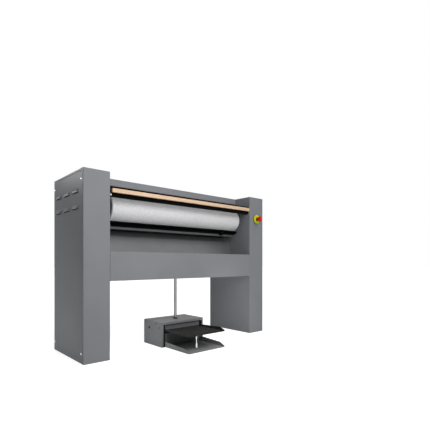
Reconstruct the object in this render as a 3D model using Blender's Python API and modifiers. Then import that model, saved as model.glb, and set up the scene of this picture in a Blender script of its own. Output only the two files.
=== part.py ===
"""Wall-type chest ironer: two sheet-metal towers, a padded roll, a heated chest
that a treadle lifts against the roll, and a trough that catches the linen.

Metres, +Z up, +X to the operator's right, the front faces -Y. The origin is on the
floor, in the middle of the whole machine with its treadle.
"""
import math

import bmesh
import bpy
from mathutils import Matrix, Vector

# Driving sizes of the whole machine
WIDTH = 1.638
HEIGHT = 1.115
TOWER_WIDTH = 0.172
ROLL_DEPTH = 0.150
BEHIND_ROLL = 0.296
ROLL_BELOW_TOP = 0.193
PEDAL_REACH = 0.190
DEPTH = ROLL_DEPTH + BEHIND_ROLL
ROLL_HEIGHT = HEIGHT - ROLL_BELOW_TOP

# Sheet work and fits shared by every piece
SHEET = 0.0015
FOLD = 0.003
FOLD_STEPS = 2
FIT = 0.0003
SEAM = 0.0008
OVERRUN = 0.012
ROUND_STEPS = 20
SMALL_STEPS = 12

# Towers: heights are above the floor, depths behind the front face
TOWER_RETURN = 0.012
COVER_FLANGE = 0.010
COVER_FLOOR_GAP = 0.001
BASE_THICKNESS = 0.008
BASE_HOLE_RADIUS = 0.006
BASE_HOLE_INSET_X = 0.030
BASE_HOLE_INSET_Y = 0.050
UPRIGHT_SHEET = 0.004
UPRIGHT_FLANGE = 0.035
UPRIGHT_FRONT_DEPTH = 0.070
UPRIGHT_TOP_GAP = 0.020

# Louvres pressed out of the side covers
LOUVRE_LENGTH = 0.088
LOUVRE_HEIGHT = 0.024
LOUVRE_PROUD = 0.008
LOUVRE_SHEET = 0.0012
LOUVRE_END = 0.016
LOUVRE_FRONT_MARGIN = 0.0512
LOUVRE_BACK_MARGIN = 0.0390
LOUVRE_COLUMNS = 3
LOUVRE_ROWS = 2
LOUVRE_BELOW_TOP = 0.131
LOUVRE_ROW_PITCH = 0.095
LOUVRE_LIP_BELOW = 0.002
LOUVRE_BULGE_SHARE = 0.78

# Cross members and covers between the towers
BEAM_WIDTH = 0.056
BEAM_HEIGHT = 0.040
BEAM_WALL = 0.003
BEAM_BACK_GAP = 0.018
UPPER_BEAM_DROP = 0.049
TOP_COVER_FRONT_DEPTH = 0.150
TOP_COVER_DROP = 0.045
TOP_COVER_LIP = 0.020
APRON_BELOW_ROLL = 0.280
APRON_HEIGHT = 0.175
APRON_TOP_RETURN = 0.022
APRON_TOP_HEM = 0.012
APRON_BOTTOM_RETURN = 0.030
PAN_FLANGE = 0.018
REAR_HEM = 0.012

# Linen chute; the shares run from the back of its floor to its top edge
CHUTE_SHEET = 0.0012
CHUTE_LIP_DROP = 0.014
CHUTE_FLOOR_RISE = 0.073
CHUTE_FLOOR_BACK_DEPTH = 0.160
CHUTE_TOP_BELOW_ROLL = 0.105
CHUTE_BEFORE_LINKS = 0.050
CHUTE_BACK_SHARES = ((0.285, 0.401), (0.368, 0.588), (0.452, 0.778), (0.706, 0.910), (1.0, 1.0))
CHUTE_RADIUS = 0.022
CHUTE_STEPS = 4

# Roll: tube, heads, felt and cloth about one axis
ROLL_END_GAP = 0.052
ROLL_RADIUS = 0.090
CLOTH = 0.0012
CLOTH_EDGE_RADIUS = 0.007
CLOTH_EDGE_STEPS = 3
CLOTH_HEM = 0.010
FELT = 0.0055
FELT_CHAMFER = 0.0045
ROLL_WALL = 0.003
HEAD_THICKNESS = 0.006
HEAD_INSET = 0.004
JOURNAL_RADIUS = 0.015
JOURNAL_CHAMFER = 0.0015
JOURNAL_COLLAR_RADIUS = 0.024
JOURNAL_COLLAR_LENGTH = 0.012
ROLL_STEPS = 40

# Bearings bolted to the uprights
BEARING_FLANGE_RADIUS = 0.046
BEARING_FLANGE = 0.008
BEARING_HUB_RADIUS = 0.033
BEARING_LENGTH = 0.028
BEARING_GROOVE = 0.003
JOURNAL_END_BEYOND = 0.006

# Worm gear motor pushed onto the right journal, held from turning by a bracket
GEARBOX_GAP = 0.005
GEARBOX_WIDTH = 0.078
GEARBOX_FRONT = 0.052
GEARBOX_BACK = 0.052
GEARBOX_TOP = 0.048
GEARBOX_BOTTOM = 0.096
GEARBOX_BEVEL = 0.010
GEARBOX_BOSS_RADIUS = 0.032
GEARBOX_BOSS = 0.006
MOTOR_DROP = 0.050
MOTOR_RADIUS = 0.038
MOTOR_LENGTH = 0.170
MOTOR_FINS = 14
MOTOR_FIN_HEIGHT = 0.004
MOTOR_COWL_LENGTH = 0.034
BRACKET_SHEET = 0.004
BRACKET_FLANGE = 0.045
BRACKET_INSET = 0.008

# Heated chest, drawn closed on the roll and then swung open; the treadle closes it
CHEST_GAP = 0.0005
CHEST_THICKNESS = 0.006
CHEST_END_GAP = 0.047
CHEST_LIP_ANGLE = 60.0
CHEST_BACK_ANGLE = 190.0
CHEST_STEPS = 24
CHEST_FLARE = 0.024
CHEST_FLARE_OUT_SHARE = 0.40
CHEST_ARM = 0.008
CHEST_ARM_RING = 0.016
CHEST_PIVOT_BEFORE_BACK = 0.041
CHEST_PIVOT_BELOW_TOP = 0.125
CHEST_PIVOT_RADIUS = 0.010
CHEST_PIVOT_BOSS = 0.020
CHEST_LUG_BEFORE_PIVOT = 0.060
CHEST_LUG_BELOW_PIVOT = 0.150
CHEST_LUG_BOSS = 0.013
HEATER_RADIUS = 0.004
HEATER_ANGLES = (94.0, 115.0, 136.0, 157.0, 178.0)
HEATER_END_INSET = 0.036
HEATER_BEND_STEPS = 5
HEATER_BEND_REACH = 0.016
INSULATION = 0.020
INSULATION_FROM_ANGLE = 84.0
INSULATION_TO_ANGLE = 186.0
INSULATION_END_INSET = 0.006
CHEST_COVER_FROM_ANGLE = 80.0
CHEST_COVER_TO_ANGLE = 188.5
CHEST_COVER_SHEET = 0.0012
PROBE_HALF_WIDTH = 0.0165
PROBE_FROM_END = 0.1585
PROBE_FROM_ANGLE = 67.0
PROBE_TO_ANGLE = 77.0
PROBE_LENGTH = 0.024

# Rocker, push links and pull rod
ROCKER_BACK_LEVER = 0.045
ROCKER_ABOVE_PAN = 0.033
ROCKER_RADIUS = 0.010
ROCKER_BOSS = 0.017
ROCKER_ARM = 0.006
ROCKER_END_BOSS = 0.012
ROCKER_FORK_GAP = 0.009
ROCKER_ARM_FROM_WALL = 0.035
PIN_RADIUS = 0.004
PIN_PLAY = 0.0006
LINK_BAR = 0.006
LINK_HALF_WIDTH = 0.010
LINK_SIDE_GAP = 0.0015
ROD_RADIUS = 0.004
ROD_EYE_BOSS = 0.008
ROD_EYE = 0.005
TUBE_RADIUS = 0.011
TUBE_WALL = 0.0015
TUBE_BELOW_TOP = 0.006
TUBE_ABOVE_PAN = 0.010

# Treadle unit on the floor
PEDAL_X = -0.0305
HOUSING_HALF_WIDTH = 0.194
HOUSING_FRONT_DEPTH = 0.047
HOUSING_BACK_DEPTH = 0.260
HOUSING_HEIGHT = 0.170
HOUSING_SHEET = 0.002
HOUSING_FOLD = 0.004
HOUSING_OPEN_HALF = 0.1775
HOUSING_OPEN_TOP = 0.152
PLATE_HALF_WIDTH = 0.1665
FLOOR_PLATE = 0.003
CHEEK = 0.0025
CHEEK_RISE_DEPTH = -0.147
FLOOR_CHEEK_BACK = 0.037
FLOOR_CHEEK_RISE = 0.028
FLOOR_CHEEK_TIP = 0.008
TREADLE_TOP = 0.110
TREADLE_PLATE = 0.003
TREADLE_CHEEK_BACK = 0.122
TREADLE_CHEEK_RISE = 0.132
TREADLE_CHEEK_TIP = 0.116
TREADLE_HINGE_DEPTH = 0.192
TREADLE_HINGE_HEIGHT = 0.118
TREADLE_PIN_RADIUS = 0.005
TREADLE_PIN_HEAD = 0.008
TREADLE_PIN_HEAD_THICKNESS = 0.002
TREADLE_BOSS = 0.011
TREADLE_GUARD_DEPTH = 0.058
TREADLE_GUARD_TOP = 0.148
TREADLE_ROD_DEPTH = 0.137
TREADLE_EAR_TOP = 0.126
TREADLE_SLOT_WIDTH = 0.010
TREADLE_SLOT_LENGTH = 0.024
TREADLE_STROKE = math.radians(4.0)
MAT = 0.002
MAT_MARGIN = 0.006
MAT_RIB = 0.0012
MAT_RIB_WIDTH = 0.006
MAT_RIBS = 11
STOP_X = -0.014
STOP_DEPTH = -0.100
STOP_FOOT_RADIUS = 0.011
STOP_WAIST_RADIUS = 0.004
STOP_HEAD_RADIUS = 0.009
STOP_HEAD = 0.004
STOP_CONE_SHARE = 0.45
SPRING_X = 0.070
SPRING_DEPTH = 0.092
SPRING_RADIUS = 0.012
SPRING_WIRE = 0.0015
SPRING_TURNS = 7
SPRING_POINTS_A_TURN = 10

# Finger guard with its wooden bar
GUARD_DEPTH = 0.0138
GUARD_ABOVE_ROLL = 0.050
GUARD_HEIGHT = 0.062
GUARD_SHEET = 0.002
GUARD_RETURN = 0.022
GUARD_END_GAP = 0.0025
GUARD_END = 0.003
GUARD_AXIS_DEPTH = 0.026
GUARD_AXIS_BELOW_TOP = 0.012
GUARD_PIN_RADIUS = 0.004
GUARD_PIN_REACH = 0.006
WOOD_FRONT_DEPTH = -0.001
WOOD_BELOW_TOP = 0.013
WOOD_HEIGHT = 0.0255
WOOD_LEFT_GAP = 0.016
WOOD_BEVEL = 0.003

# Emergency stop on the right tower
ESTOP_ABOVE_ROLL = 0.014
ESTOP_PLATE_RADIUS = 0.0370
ESTOP_PLATE = 0.008
ESTOP_EDGE = 0.001
ESTOP_BORE = 0.0115
ESTOP_SLEEVE_RADIUS = 0.0145
ESTOP_SLEEVE_BACK = 0.030
ESTOP_HEAD_RADIUS = 0.0225
ESTOP_HEAD_FRONT = 0.048
ESTOP_HEAD_BACK = 0.028
ESTOP_STEM_BACK = 0.020
ESTOP_HEAD_EDGE = 0.004

# Control panel on top of the right tower
PANEL_WIDTH = 0.140
PANEL_LENGTH = 0.088
PANEL_THICKNESS = 0.002
PANEL_MIDDLE_DEPTH = 0.080
PANEL_CORNER = 0.005
KEY_SIDE = 0.018
KEY_CORNER = 0.002
KEY_PROUD = 0.0008
KEY_TRAVEL = 0.0005
KEY_PLAY = 0.0004
START_KEY_X = -0.044
SET_KEY_X = 0.004
KEY_Y = 0.006
LAMP_X = 0.032
LAMP_WIDTH = 0.007
LAMP_LENGTH = 0.066
LAMP_CORNER = 0.003
CONTROL_BOX_WIDTH = 0.090
CONTROL_BOX_LENGTH = 0.076
CONTROL_BOX_HEIGHT = 0.048
CONTROL_BOX_EDGE = 0.004

# Cable gland on the back of the right tower
GLAND_HEIGHT = 0.140
GLAND_NUT_RADIUS = 0.016
GLAND_NUT = 0.008
GLAND_BODY_RADIUS = 0.011
GLAND_LENGTH = 0.012
GLAND_BORE = 0.005

REAR_REACH = FIT + GLAND_LENGTH
FRONT_Y = (PEDAL_REACH - DEPTH - REAR_REACH) / 2
OUTER_X = WIDTH / 2
INNER_X = OUTER_X - TOWER_WIDTH
TOWER_X = OUTER_X - TOWER_WIDTH / 2


def behind(depth):
    """World Y of a depth behind the machine's front face."""
    return FRONT_Y + depth


REAR_Y = behind(DEPTH)
ROLL_Y = behind(ROLL_DEPTH)
ROLL_LENGTH = (INNER_X - ROLL_END_GAP) * 2
CHEST_HALF_LENGTH = INNER_X - CHEST_END_GAP
APRON_TOP = ROLL_HEIGHT - APRON_BELOW_ROLL
APRON_BOTTOM = APRON_TOP - APRON_HEIGHT
GUARD_BOTTOM = ROLL_HEIGHT + GUARD_ABOVE_ROLL
GUARD_TOP = GUARD_BOTTOM + GUARD_HEIGHT
GUARD_AXIS_HEIGHT = GUARD_TOP - GUARD_AXIS_BELOW_TOP
ESTOP_HEIGHT = ROLL_HEIGHT + ESTOP_ABOVE_ROLL
CHEST_PIVOT_DEPTH = DEPTH - CHEST_PIVOT_BEFORE_BACK
CHEST_PIVOT_HEIGHT = HEIGHT - CHEST_PIVOT_BELOW_TOP
CHEST_LUG_DEPTH = CHEST_PIVOT_DEPTH - CHEST_LUG_BEFORE_PIVOT
CHEST_LUG_HEIGHT = CHEST_PIVOT_HEIGHT - CHEST_LUG_BELOW_PIVOT
ROCKER_DEPTH = CHEST_LUG_DEPTH - ROCKER_BACK_LEVER
ROCKER_HEIGHT = APRON_BOTTOM + ROCKER_ABOVE_PAN
ROCKER_ARM_X = INNER_X - ROCKER_ARM_FROM_WALL
CHEST_RADIUS = ROLL_RADIUS + CHEST_GAP
CHEST_BACK_RADIUS = CHEST_RADIUS + CHEST_THICKNESS
HEATER_CENTRE_RADIUS = CHEST_BACK_RADIUS + FIT + HEATER_RADIUS
INSULATION_RADIUS = HEATER_CENTRE_RADIUS + HEATER_RADIUS + FIT
CHEST_COVER_RADIUS = INSULATION_RADIUS + INSULATION + FIT
UPRIGHT_X = INNER_X + SHEET + FIT
BEARING_X = UPRIGHT_X + UPRIGHT_SHEET + FIT
UPPER_BEAM_BOTTOM = HEIGHT - UPPER_BEAM_DROP - BEAM_HEIGHT
LOWER_BEAM_BOTTOM = APRON_BOTTOM + SHEET + FIT
BEAM_BACK_DEPTH = DEPTH - BEAM_BACK_GAP
TOP_COVER_BOTTOM = HEIGHT - TOP_COVER_DROP
LINK_X = ROCKER_ARM_X + ROCKER_ARM + LINK_SIDE_GAP

# Lever ratios: how far everything else goes while the treadle makes its stroke
ROD_LEVER = TREADLE_HINGE_DEPTH - TREADLE_ROD_DEPTH
ROCKER_FRONT_LEVER = ROCKER_DEPTH - TREADLE_ROD_DEPTH
ROD_PER_TREADLE = ROD_LEVER
ROCKER_PER_TREADLE = ROD_LEVER / ROCKER_FRONT_LEVER
CHEST_PER_TREADLE = ROCKER_PER_TREADLE * ROCKER_BACK_LEVER / CHEST_LUG_BEFORE_PIVOT
CHEST_OPEN = TREADLE_STROKE * CHEST_PER_TREADLE

# Distances that count as nothing
TINY = 1e-6
MERGE = 0.0001


# Scene, collections and materials

def clear_scene():
    for item in list(bpy.data.objects):
        bpy.data.objects.remove(item, do_unlink=True)


def new_collection(name):
    collection = bpy.data.collections.new(name)
    bpy.context.scene.collection.children.link(collection)
    return collection


def material(name, colour, roughness, metallic=0.0):
    result = bpy.data.materials.new(name)
    result.use_nodes = True
    shader = result.node_tree.nodes["Principled BSDF"]
    shader.inputs["Base Color"].default_value = (*colour, 1.0)
    shader.inputs["Roughness"].default_value = roughness
    shader.inputs["Metallic"].default_value = metallic
    return result


clear_scene()
PARTS = new_collection("chest_ironer")
CUTTERS = new_collection("cutters")
PAINT = material("grey_powder_coat", (0.25, 0.26, 0.28), 0.45)
GALVANISED = material("galvanised_sheet", (0.42, 0.43, 0.44), 0.4, 0.9)
STAINLESS = material("brushed_stainless", (0.55, 0.55, 0.56), 0.3, 1.0)
CHROME = material("chrome", (0.8, 0.8, 0.82), 0.1, 1.0)
STEEL = material("machined_steel", (0.4, 0.4, 0.41), 0.35, 1.0)
BLACK_METAL = material("black_metal", (0.012, 0.012, 0.013), 0.4, 0.3)
CAST = material("cast_iron_paint", (0.08, 0.10, 0.13), 0.5)
CLOTH_WHITE = material("ironing_cloth", (0.72, 0.72, 0.73), 0.9)
FELT_GREY = material("felt", (0.45, 0.44, 0.42), 0.95)
WOOL = material("mineral_wool", (0.55, 0.50, 0.36), 0.95)
WOOD = material("beech", (0.78, 0.56, 0.38), 0.5)
RUBBER = material("black_rubber", (0.02, 0.02, 0.02), 0.8)
PLASTIC_BLACK = material("black_plastic", (0.01, 0.01, 0.012), 0.3)
YELLOW = material("yellow_plastic", (0.85, 0.75, 0.02), 0.4)
RED = material("red_plastic", (0.75, 0.02, 0.02), 0.3)
WHITE_LENS = material("white_lens", (0.8, 0.8, 0.8), 0.2)


# Modelling helpers

def place(axis, a, b, along):
    """World vector from two coordinates across an axis and one along it."""
    if axis == "X":
        return Vector((along, a, b))
    if axis == "Y":
        return Vector((b, along, a))
    return Vector((a, b, along))


def frame_of(axis):
    """Matrix that turns local X, Y, Z into the directions across and along an axis."""
    columns = (place(axis, 1, 0, 0), place(axis, 0, 1, 0), place(axis, 0, 0, 1))
    return Matrix(columns).transposed().to_4x4()


def add_object(name, mesh, finish, cutter=False):
    result = bpy.data.objects.new(name, mesh)
    if cutter:
        CUTTERS.objects.link(result)
        result.hide_render = True
        result.display_type = "WIRE"
    else:
        PARTS.objects.link(result)
    if finish:
        mesh.materials.append(finish)
    mesh.shade_smooth()
    mesh.set_sharp_from_angle(angle=math.radians(30.0))
    return result


def from_bmesh(name, bm, finish, cutter=False):
    mesh = bpy.data.meshes.new(name)
    bm.to_mesh(mesh)
    bm.free()
    return add_object(name, mesh, finish, cutter)


def fill_box(bm, low, high):
    size = Vector(high) - Vector(low)
    middle = (Vector(high) + Vector(low)) / 2
    return bmesh.ops.create_cube(bm, size=1, matrix=Matrix.LocRotScale(middle, None, size))


def box(name, low, high, finish=None, cutter=False, bevel=0.0):
    bm = bmesh.new()
    fill_box(bm, low, high)
    result = from_bmesh(name, bm, finish, cutter)
    if bevel:
        add_bevel(result, bevel)
    return result


def add_bevel(item, width, steps=FOLD_STEPS):
    modifier = item.modifiers.new("round", "BEVEL")
    modifier.width = width
    modifier.segments = steps
    modifier.limit_method = "ANGLE"
    modifier.angle_limit = math.radians(30.0)


def add_solidify(item, thickness):
    modifier = item.modifiers.new("sheet", "SOLIDIFY")
    modifier.thickness = thickness
    modifier.offset = -1.0
    modifier.use_even_offset = True


def shell(name, low, high, open_sides, thickness, fold, finish, steps=FOLD_STEPS):
    """Folded sheet box; open_sides is a list of outward directions left open."""
    bm = bmesh.new()
    fill_box(bm, low, high)
    bm.normal_update()
    gone = [face for face in bm.faces
            if any(face.normal.dot(Vector(side)) > 0.5 for side in open_sides)]
    bmesh.ops.delete(bm, geom=gone, context="FACES")
    result = from_bmesh(name, bm, finish)
    add_bevel(result, fold, steps)
    add_solidify(result, thickness)
    return result


def bar(name, axis, a, b, start, end, radius, finish=None, cutter=False, steps=SMALL_STEPS):
    """Round bar along an axis through the point (a, b) across it."""
    bm = bmesh.new()
    middle = place(axis, a, b, (start + end) / 2)
    matrix = Matrix.Translation(middle) @ frame_of(axis)
    bmesh.ops.create_cone(bm, cap_ends=True, segments=steps, radius1=radius, radius2=radius,
                          depth=end - start, matrix=matrix)
    return from_bmesh(name, bm, finish, cutter)


def plate(name, outlines, axis, start, end, finish=None, cutter=False):
    """Flat piece from closed outlines across an axis; inner outlines are holes."""
    if not outlines[1:]:
        return prism(name, outlines[0], axis, start, end, finish, cutter)
    curve = bpy.data.curves.new(name, "CURVE")
    curve.dimensions = "2D"
    curve.fill_mode = "BOTH"
    curve.extrude = (end - start) / 2
    middle_a, middle_b = (sum(values) / len(outlines[0]) for values in zip(*outlines[0]))
    for outline in outlines:
        spline = curve.splines.new("POLY")
        spline.points.add(len(outline) - len(spline.points))
        for point, (a, b) in zip(spline.points, outline):
            point.co = Vector((a - middle_a, b - middle_b, 0)).to_4d()
        spline.use_cyclic_u = True
    guide = bpy.data.objects.new(name + "_outline", curve)
    PARTS.objects.link(guide)
    graph = bpy.context.evaluated_depsgraph_get()
    mesh = bpy.data.meshes.new_from_object(guide.evaluated_get(graph))
    bpy.data.objects.remove(guide, do_unlink=True)
    bm = bmesh.new()
    bm.from_mesh(mesh)
    bpy.data.meshes.remove(mesh)
    bmesh.ops.remove_doubles(bm, verts=bm.verts, dist=TINY)
    shift = Matrix.Translation(place(axis, middle_a, middle_b, (start + end) / 2))
    bm.transform(shift @ frame_of(axis))
    bmesh.ops.recalc_face_normals(bm, faces=bm.faces)
    return from_bmesh(name, bm, finish, cutter)


def prism(name, outline, axis, start, end, finish=None, cutter=False):
    """Flat piece from one closed outline across an axis."""
    bm = bmesh.new()
    near = [bm.verts.new(place(axis, a, b, start)) for a, b in outline]
    far = [bm.verts.new(place(axis, a, b, end)) for a, b in outline]
    bm.faces.new(near)
    bm.faces.new(far)
    for near_pair, far_pair in zip(zip(near, near[1:] + near[:1]), zip(far, far[1:] + far[:1])):
        bm.faces.new((*near_pair, *reversed(far_pair)))
    bmesh.ops.recalc_face_normals(bm, faces=bm.faces)
    return from_bmesh(name, bm, finish, cutter)


def folded(name, path, axis, start, end, thickness, finish):
    """Sheet bent along a path; its outer side lies to the left of the path."""
    bm = bmesh.new()
    verts = [bm.verts.new(place(axis, a, b, start)) for a, b in path]
    edges = [bm.edges.new(pair) for pair in zip(verts, verts[1:])]
    moved = bmesh.ops.extrude_edge_only(bm, edges=edges)["geom"]
    corners = [item for item in moved if isinstance(item, bmesh.types.BMVert)]
    bmesh.ops.translate(bm, verts=corners, vec=place(axis, 0, 0, end - start))
    bm.normal_update()
    (a0, b0), (a1, b1) = path[:2]
    left = place(axis, b0 - b1, a1 - a0, 0)
    if edges[0].link_faces[0].normal.dot(left) < 0:
        bmesh.ops.reverse_faces(bm, faces=bm.faces)
    result = from_bmesh(name, bm, finish)
    add_solidify(result, thickness)
    return result


def turned(name, profile, axis, a, b, along, finish=None, steps=ROUND_STEPS, closed=False):
    """Turned piece: the profile holds (radius, distance along) from the far end back."""
    bm = bmesh.new()
    verts = [bm.verts.new((radius, 0, distance)) for radius, distance in profile]
    for pair in zip(verts, verts[1:]):
        bm.edges.new(pair)
    if closed:
        bm.edges.new((verts[-1], verts[0]))
    result = from_bmesh(name, bm, finish)
    result.matrix_world = Matrix.Translation(place(axis, a, b, along)) @ frame_of(axis)
    screw = result.modifiers.new("turn", "SCREW")
    screw.steps = steps
    screw.render_steps = steps
    screw.use_merge_vertices = True
    screw.merge_threshold = MERGE
    screw.use_smooth_shade = True
    return result


def ring(name, inner, outer, start, end, axis, a, b, finish, steps=ROUND_STEPS):
    profile = [(outer, end), (outer, start), (inner, start), (inner, end)]
    return turned(name, profile, axis, a, b, 0.0, finish, steps, closed=True)


def tube_along(name, points, radius, roundness, finish):
    """Round bar bent through a row of points."""
    curve = bpy.data.curves.new(name, "CURVE")
    curve.dimensions = "3D"
    curve.bevel_depth = radius
    curve.bevel_resolution = roundness
    curve.use_fill_caps = True
    spline = curve.splines.new("POLY")
    spline.points.add(len(points) - len(spline.points))
    for point, position in zip(spline.points, points):
        point.co = Vector(position).to_4d()
    result = bpy.data.objects.new(name, curve)
    PARTS.objects.link(result)
    curve.materials.append(finish)
    return result


def boolean(item, other, operation):
    modifier = item.modifiers.new(other.name, "BOOLEAN")
    modifier.object = other
    modifier.operation = operation
    modifier.solver = "EXACT"


def cut(item, *tools):
    for tool in tools:
        boolean(item, tool, "DIFFERENCE")


def weld(item, *others):
    """Join pieces into one body; the others stay as hidden tools."""
    for other in others:
        boolean(item, other, "UNION")


def joined(name, meshes_of, cutter=False, finish=None):
    """One object from several separate solids."""
    bm = bmesh.new()
    for piece in meshes_of:
        bm.from_mesh(piece.data)
        bpy.data.objects.remove(piece, do_unlink=True)
    return from_bmesh(name, bm, finish, cutter)


def rounded(path, radius, steps=FOLD_STEPS, closed=False):
    """The path with each inner corner replaced by an arc."""
    points = [Vector(point) for point in path]
    count = len(points)
    result = []
    for i, corner in enumerate(points):
        if not closed and i in (0, count - 1):
            result.append(tuple(corner))
            continue
        before = (points[i - 1] - corner)
        after = (points[(i + 1) % count] - corner)
        angle = before.angle(after)
        reach = radius / math.tan(angle / 2)
        reach = min(reach, before.length / 2, after.length / 2)
        real_radius = reach * math.tan(angle / 2)
        bisector = (before.normalized() + after.normalized()).normalized()
        centre = corner + bisector * (real_radius / math.sin(angle / 2))
        start = corner + before.normalized() * reach - centre
        end = corner + after.normalized() * reach - centre
        sweep = start.angle_signed(end)
        for k in range(steps + 1):
            turn = -sweep * k / steps
            spoke = Matrix.Rotation(turn, 2) @ start
            result.append(tuple(centre + spoke))
    return result


def circle(a, b, radius, steps=SMALL_STEPS):
    return [(a + radius * math.cos(math.tau * k / steps), b + radius * math.sin(math.tau * k / steps))
            for k in range(steps)]


def clear(radius, steps=SMALL_STEPS):
    """Corner radius of a drawn hole whose flats clear a round piece."""
    return (radius + FIT) / math.cos(math.pi / steps)


def on_roll(radius, degrees):
    """Point round the roll: 0 in front of it, 90 below it, 180 behind it."""
    angle = math.radians(degrees)
    return (ROLL_Y - radius * math.cos(angle), ROLL_HEIGHT - radius * math.sin(angle))


def roll_arc(radius, start, end, steps=CHEST_STEPS):
    return [on_roll(radius, start + (end - start) * k / steps) for k in range(steps + 1)]


def hull(points):
    """Outline drawn tight round points, counter-clockwise."""
    points = sorted(set(points))

    def half(ordered):
        chain = []
        for point in ordered:
            while len(chain) > 1:
                (ax, ay), (bx, by) = chain[-2:]
                if (bx - ax) * (point[1] - ay) - (by - ay) * (point[0] - ax) > 0:
                    break
                chain.pop()
            chain.append(point)
        return chain[:-1]

    return half(points) + half(points[::-1])


def boss_hull(circles):
    """Outline drawn tight round several bosses given as (a, b, radius)."""
    return hull([point for a, b, radius in circles for point in circle(a, b, radius)])


def pivot(name, a, b):
    """Empty on a joint's axis, which runs along X."""
    result = bpy.data.objects.new(name, None)
    PARTS.objects.link(result)
    result.location = (0, a, b)
    return result


def slide_point(name, position):
    result = bpy.data.objects.new(name, None)
    PARTS.objects.link(result)
    result.location = position
    return result


def hang(empty, *pieces):
    """Parent pieces to an empty without moving them."""
    bpy.context.view_layer.update()
    for piece in pieces:
        piece.parent = empty
        piece.matrix_parent_inverse = empty.matrix_world.inverted()


def spread(side, near, far):
    """Low and high X of a span on one side of the machine."""
    return (near, far) if side > 0 else (-far, -near)


def side_name(side):
    return "right" if side > 0 else "left"


# Towers

def tower_wall_tools(side):
    """Tools for the openings that the casing and the upright share."""
    name = side_name(side)
    x0, x1 = spread(side, INNER_X - OVERRUN, INNER_X + UPRIGHT_SHEET + OVERRUN)
    journal = bar(name + "_journal_hole", "X", ROLL_Y, ROLL_HEIGHT, x0, x1,
                  JOURNAL_COLLAR_RADIUS, cutter=True, steps=ROUND_STEPS)
    chest = bar(name + "_chest_pivot_hole", "X", behind(CHEST_PIVOT_DEPTH), CHEST_PIVOT_HEIGHT,
                x0, x1, clear(CHEST_PIVOT_RADIUS, ROUND_STEPS), cutter=True, steps=ROUND_STEPS)
    rocker = bar(name + "_rocker_hole", "X", behind(ROCKER_DEPTH), ROCKER_HEIGHT,
                 x0, x1, clear(ROCKER_RADIUS, ROUND_STEPS), cutter=True, steps=ROUND_STEPS)
    return journal, chest, rocker


def beam_tools(side):
    name = side_name(side)
    x0, x1 = spread(side, INNER_X - OVERRUN, INNER_X + SHEET + FIT / 2)
    tools = []
    for level, bottom in (("upper", UPPER_BEAM_BOTTOM), ("lower", LOWER_BEAM_BOTTOM)):
        low = (x0, behind(BEAM_BACK_DEPTH - BEAM_WIDTH) - FIT, bottom - FIT)
        high = (x1, behind(BEAM_BACK_DEPTH) + FIT, bottom + BEAM_HEIGHT + FIT)
        tools.append(box(name + "_" + level + "_beam_hole", low, high, cutter=True))
    return tools


def build_casing(side, shared_tools):
    name = side_name(side)
    x0, x1 = spread(side, INNER_X, OUTER_X)
    casing = shell(name + "_tower_casing", (x0, FRONT_Y, 0), (x1, REAR_Y, HEIGHT),
                   [(0, 1, 0), (0, 0, -1)], SHEET, FOLD, PAINT)
    o0, o1 = spread(side, OUTER_X - OVERRUN, OUTER_X + OVERRUN)
    opening = box(name + "_side_opening", (o0, FRONT_Y + TOWER_RETURN, -OVERRUN),
                  (o1, REAR_Y + OVERRUN, HEIGHT - TOWER_RETURN), cutter=True)
    g0, g1 = spread(side, INNER_X - OVERRUN, INNER_X + OVERRUN)
    guard_hole = bar(name + "_guard_hole", "X", behind(GUARD_AXIS_DEPTH), GUARD_AXIS_HEIGHT,
                     g0, g1, clear(GUARD_PIN_RADIUS), cutter=True)
    cut(casing, opening, guard_hole, *shared_tools, *beam_tools(side))
    return casing


def louvre_hull(name, side, depth, sill, wall, cutter):
    """Pressed hood, or with a wall the hollow behind it."""
    half = LOUVRE_LENGTH / 2 - wall
    end = half - LOUVRE_END
    top = sill + LOUVRE_HEIGHT - wall
    proud = LOUVRE_PROUD - wall
    bottom = sill - LOUVRE_LIP_BELOW if wall else sill
    root = -OVERRUN if wall else -SHEET / 2
    middle = (sill + top) / 2
    bm = bmesh.new()
    for sign in (-1, 1):
        y = behind(depth) + sign * half
        lip = behind(depth) + sign * end
        rows = ((y, bottom, root), (y, top, root), (lip, bottom, proud),
                (lip, middle, proud * LOUVRE_BULGE_SHARE), (y, bottom, 0), (y, top, 0))
        for v, w, out in rows:
            bm.verts.new((side * (OUTER_X + out), v, w))
    bmesh.ops.convex_hull(bm, input=bm.verts)
    bmesh.ops.recalc_face_normals(bm, faces=bm.faces)
    return from_bmesh(name, bm, None, cutter=True)


def build_side_cover(side):
    name = side_name(side)
    x0, x1 = spread(side, OUTER_X - COVER_FLANGE, OUTER_X)
    cover = shell(name + "_side_cover", (x0, FRONT_Y + TOWER_RETURN + SEAM, COVER_FLOOR_GAP),
                  (x1, REAR_Y, HEIGHT - TOWER_RETURN - SEAM),
                  [(-side, 0, 0)], SHEET, SHEET, PAINT, steps=1)
    hoods, hollows = [], []
    first = TOWER_RETURN + SEAM + LOUVRE_FRONT_MARGIN + LOUVRE_LENGTH / 2
    last = DEPTH - LOUVRE_BACK_MARGIN - LOUVRE_LENGTH / 2
    for row in range(LOUVRE_ROWS):
        sill = HEIGHT - LOUVRE_BELOW_TOP - row * LOUVRE_ROW_PITCH
        for column in range(LOUVRE_COLUMNS):
            depth = first + (last - first) * column / (LOUVRE_COLUMNS - 1)
            hoods.append(louvre_hull(name + "_hood", side, depth, sill, 0, True))
            hollows.append(louvre_hull(name + "_hollow", side, depth, sill, LOUVRE_SHEET, True))
    weld(cover, joined(name + "_hoods", hoods, cutter=True))
    cut(cover, joined(name + "_hollows", hollows, cutter=True))
    return cover


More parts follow.
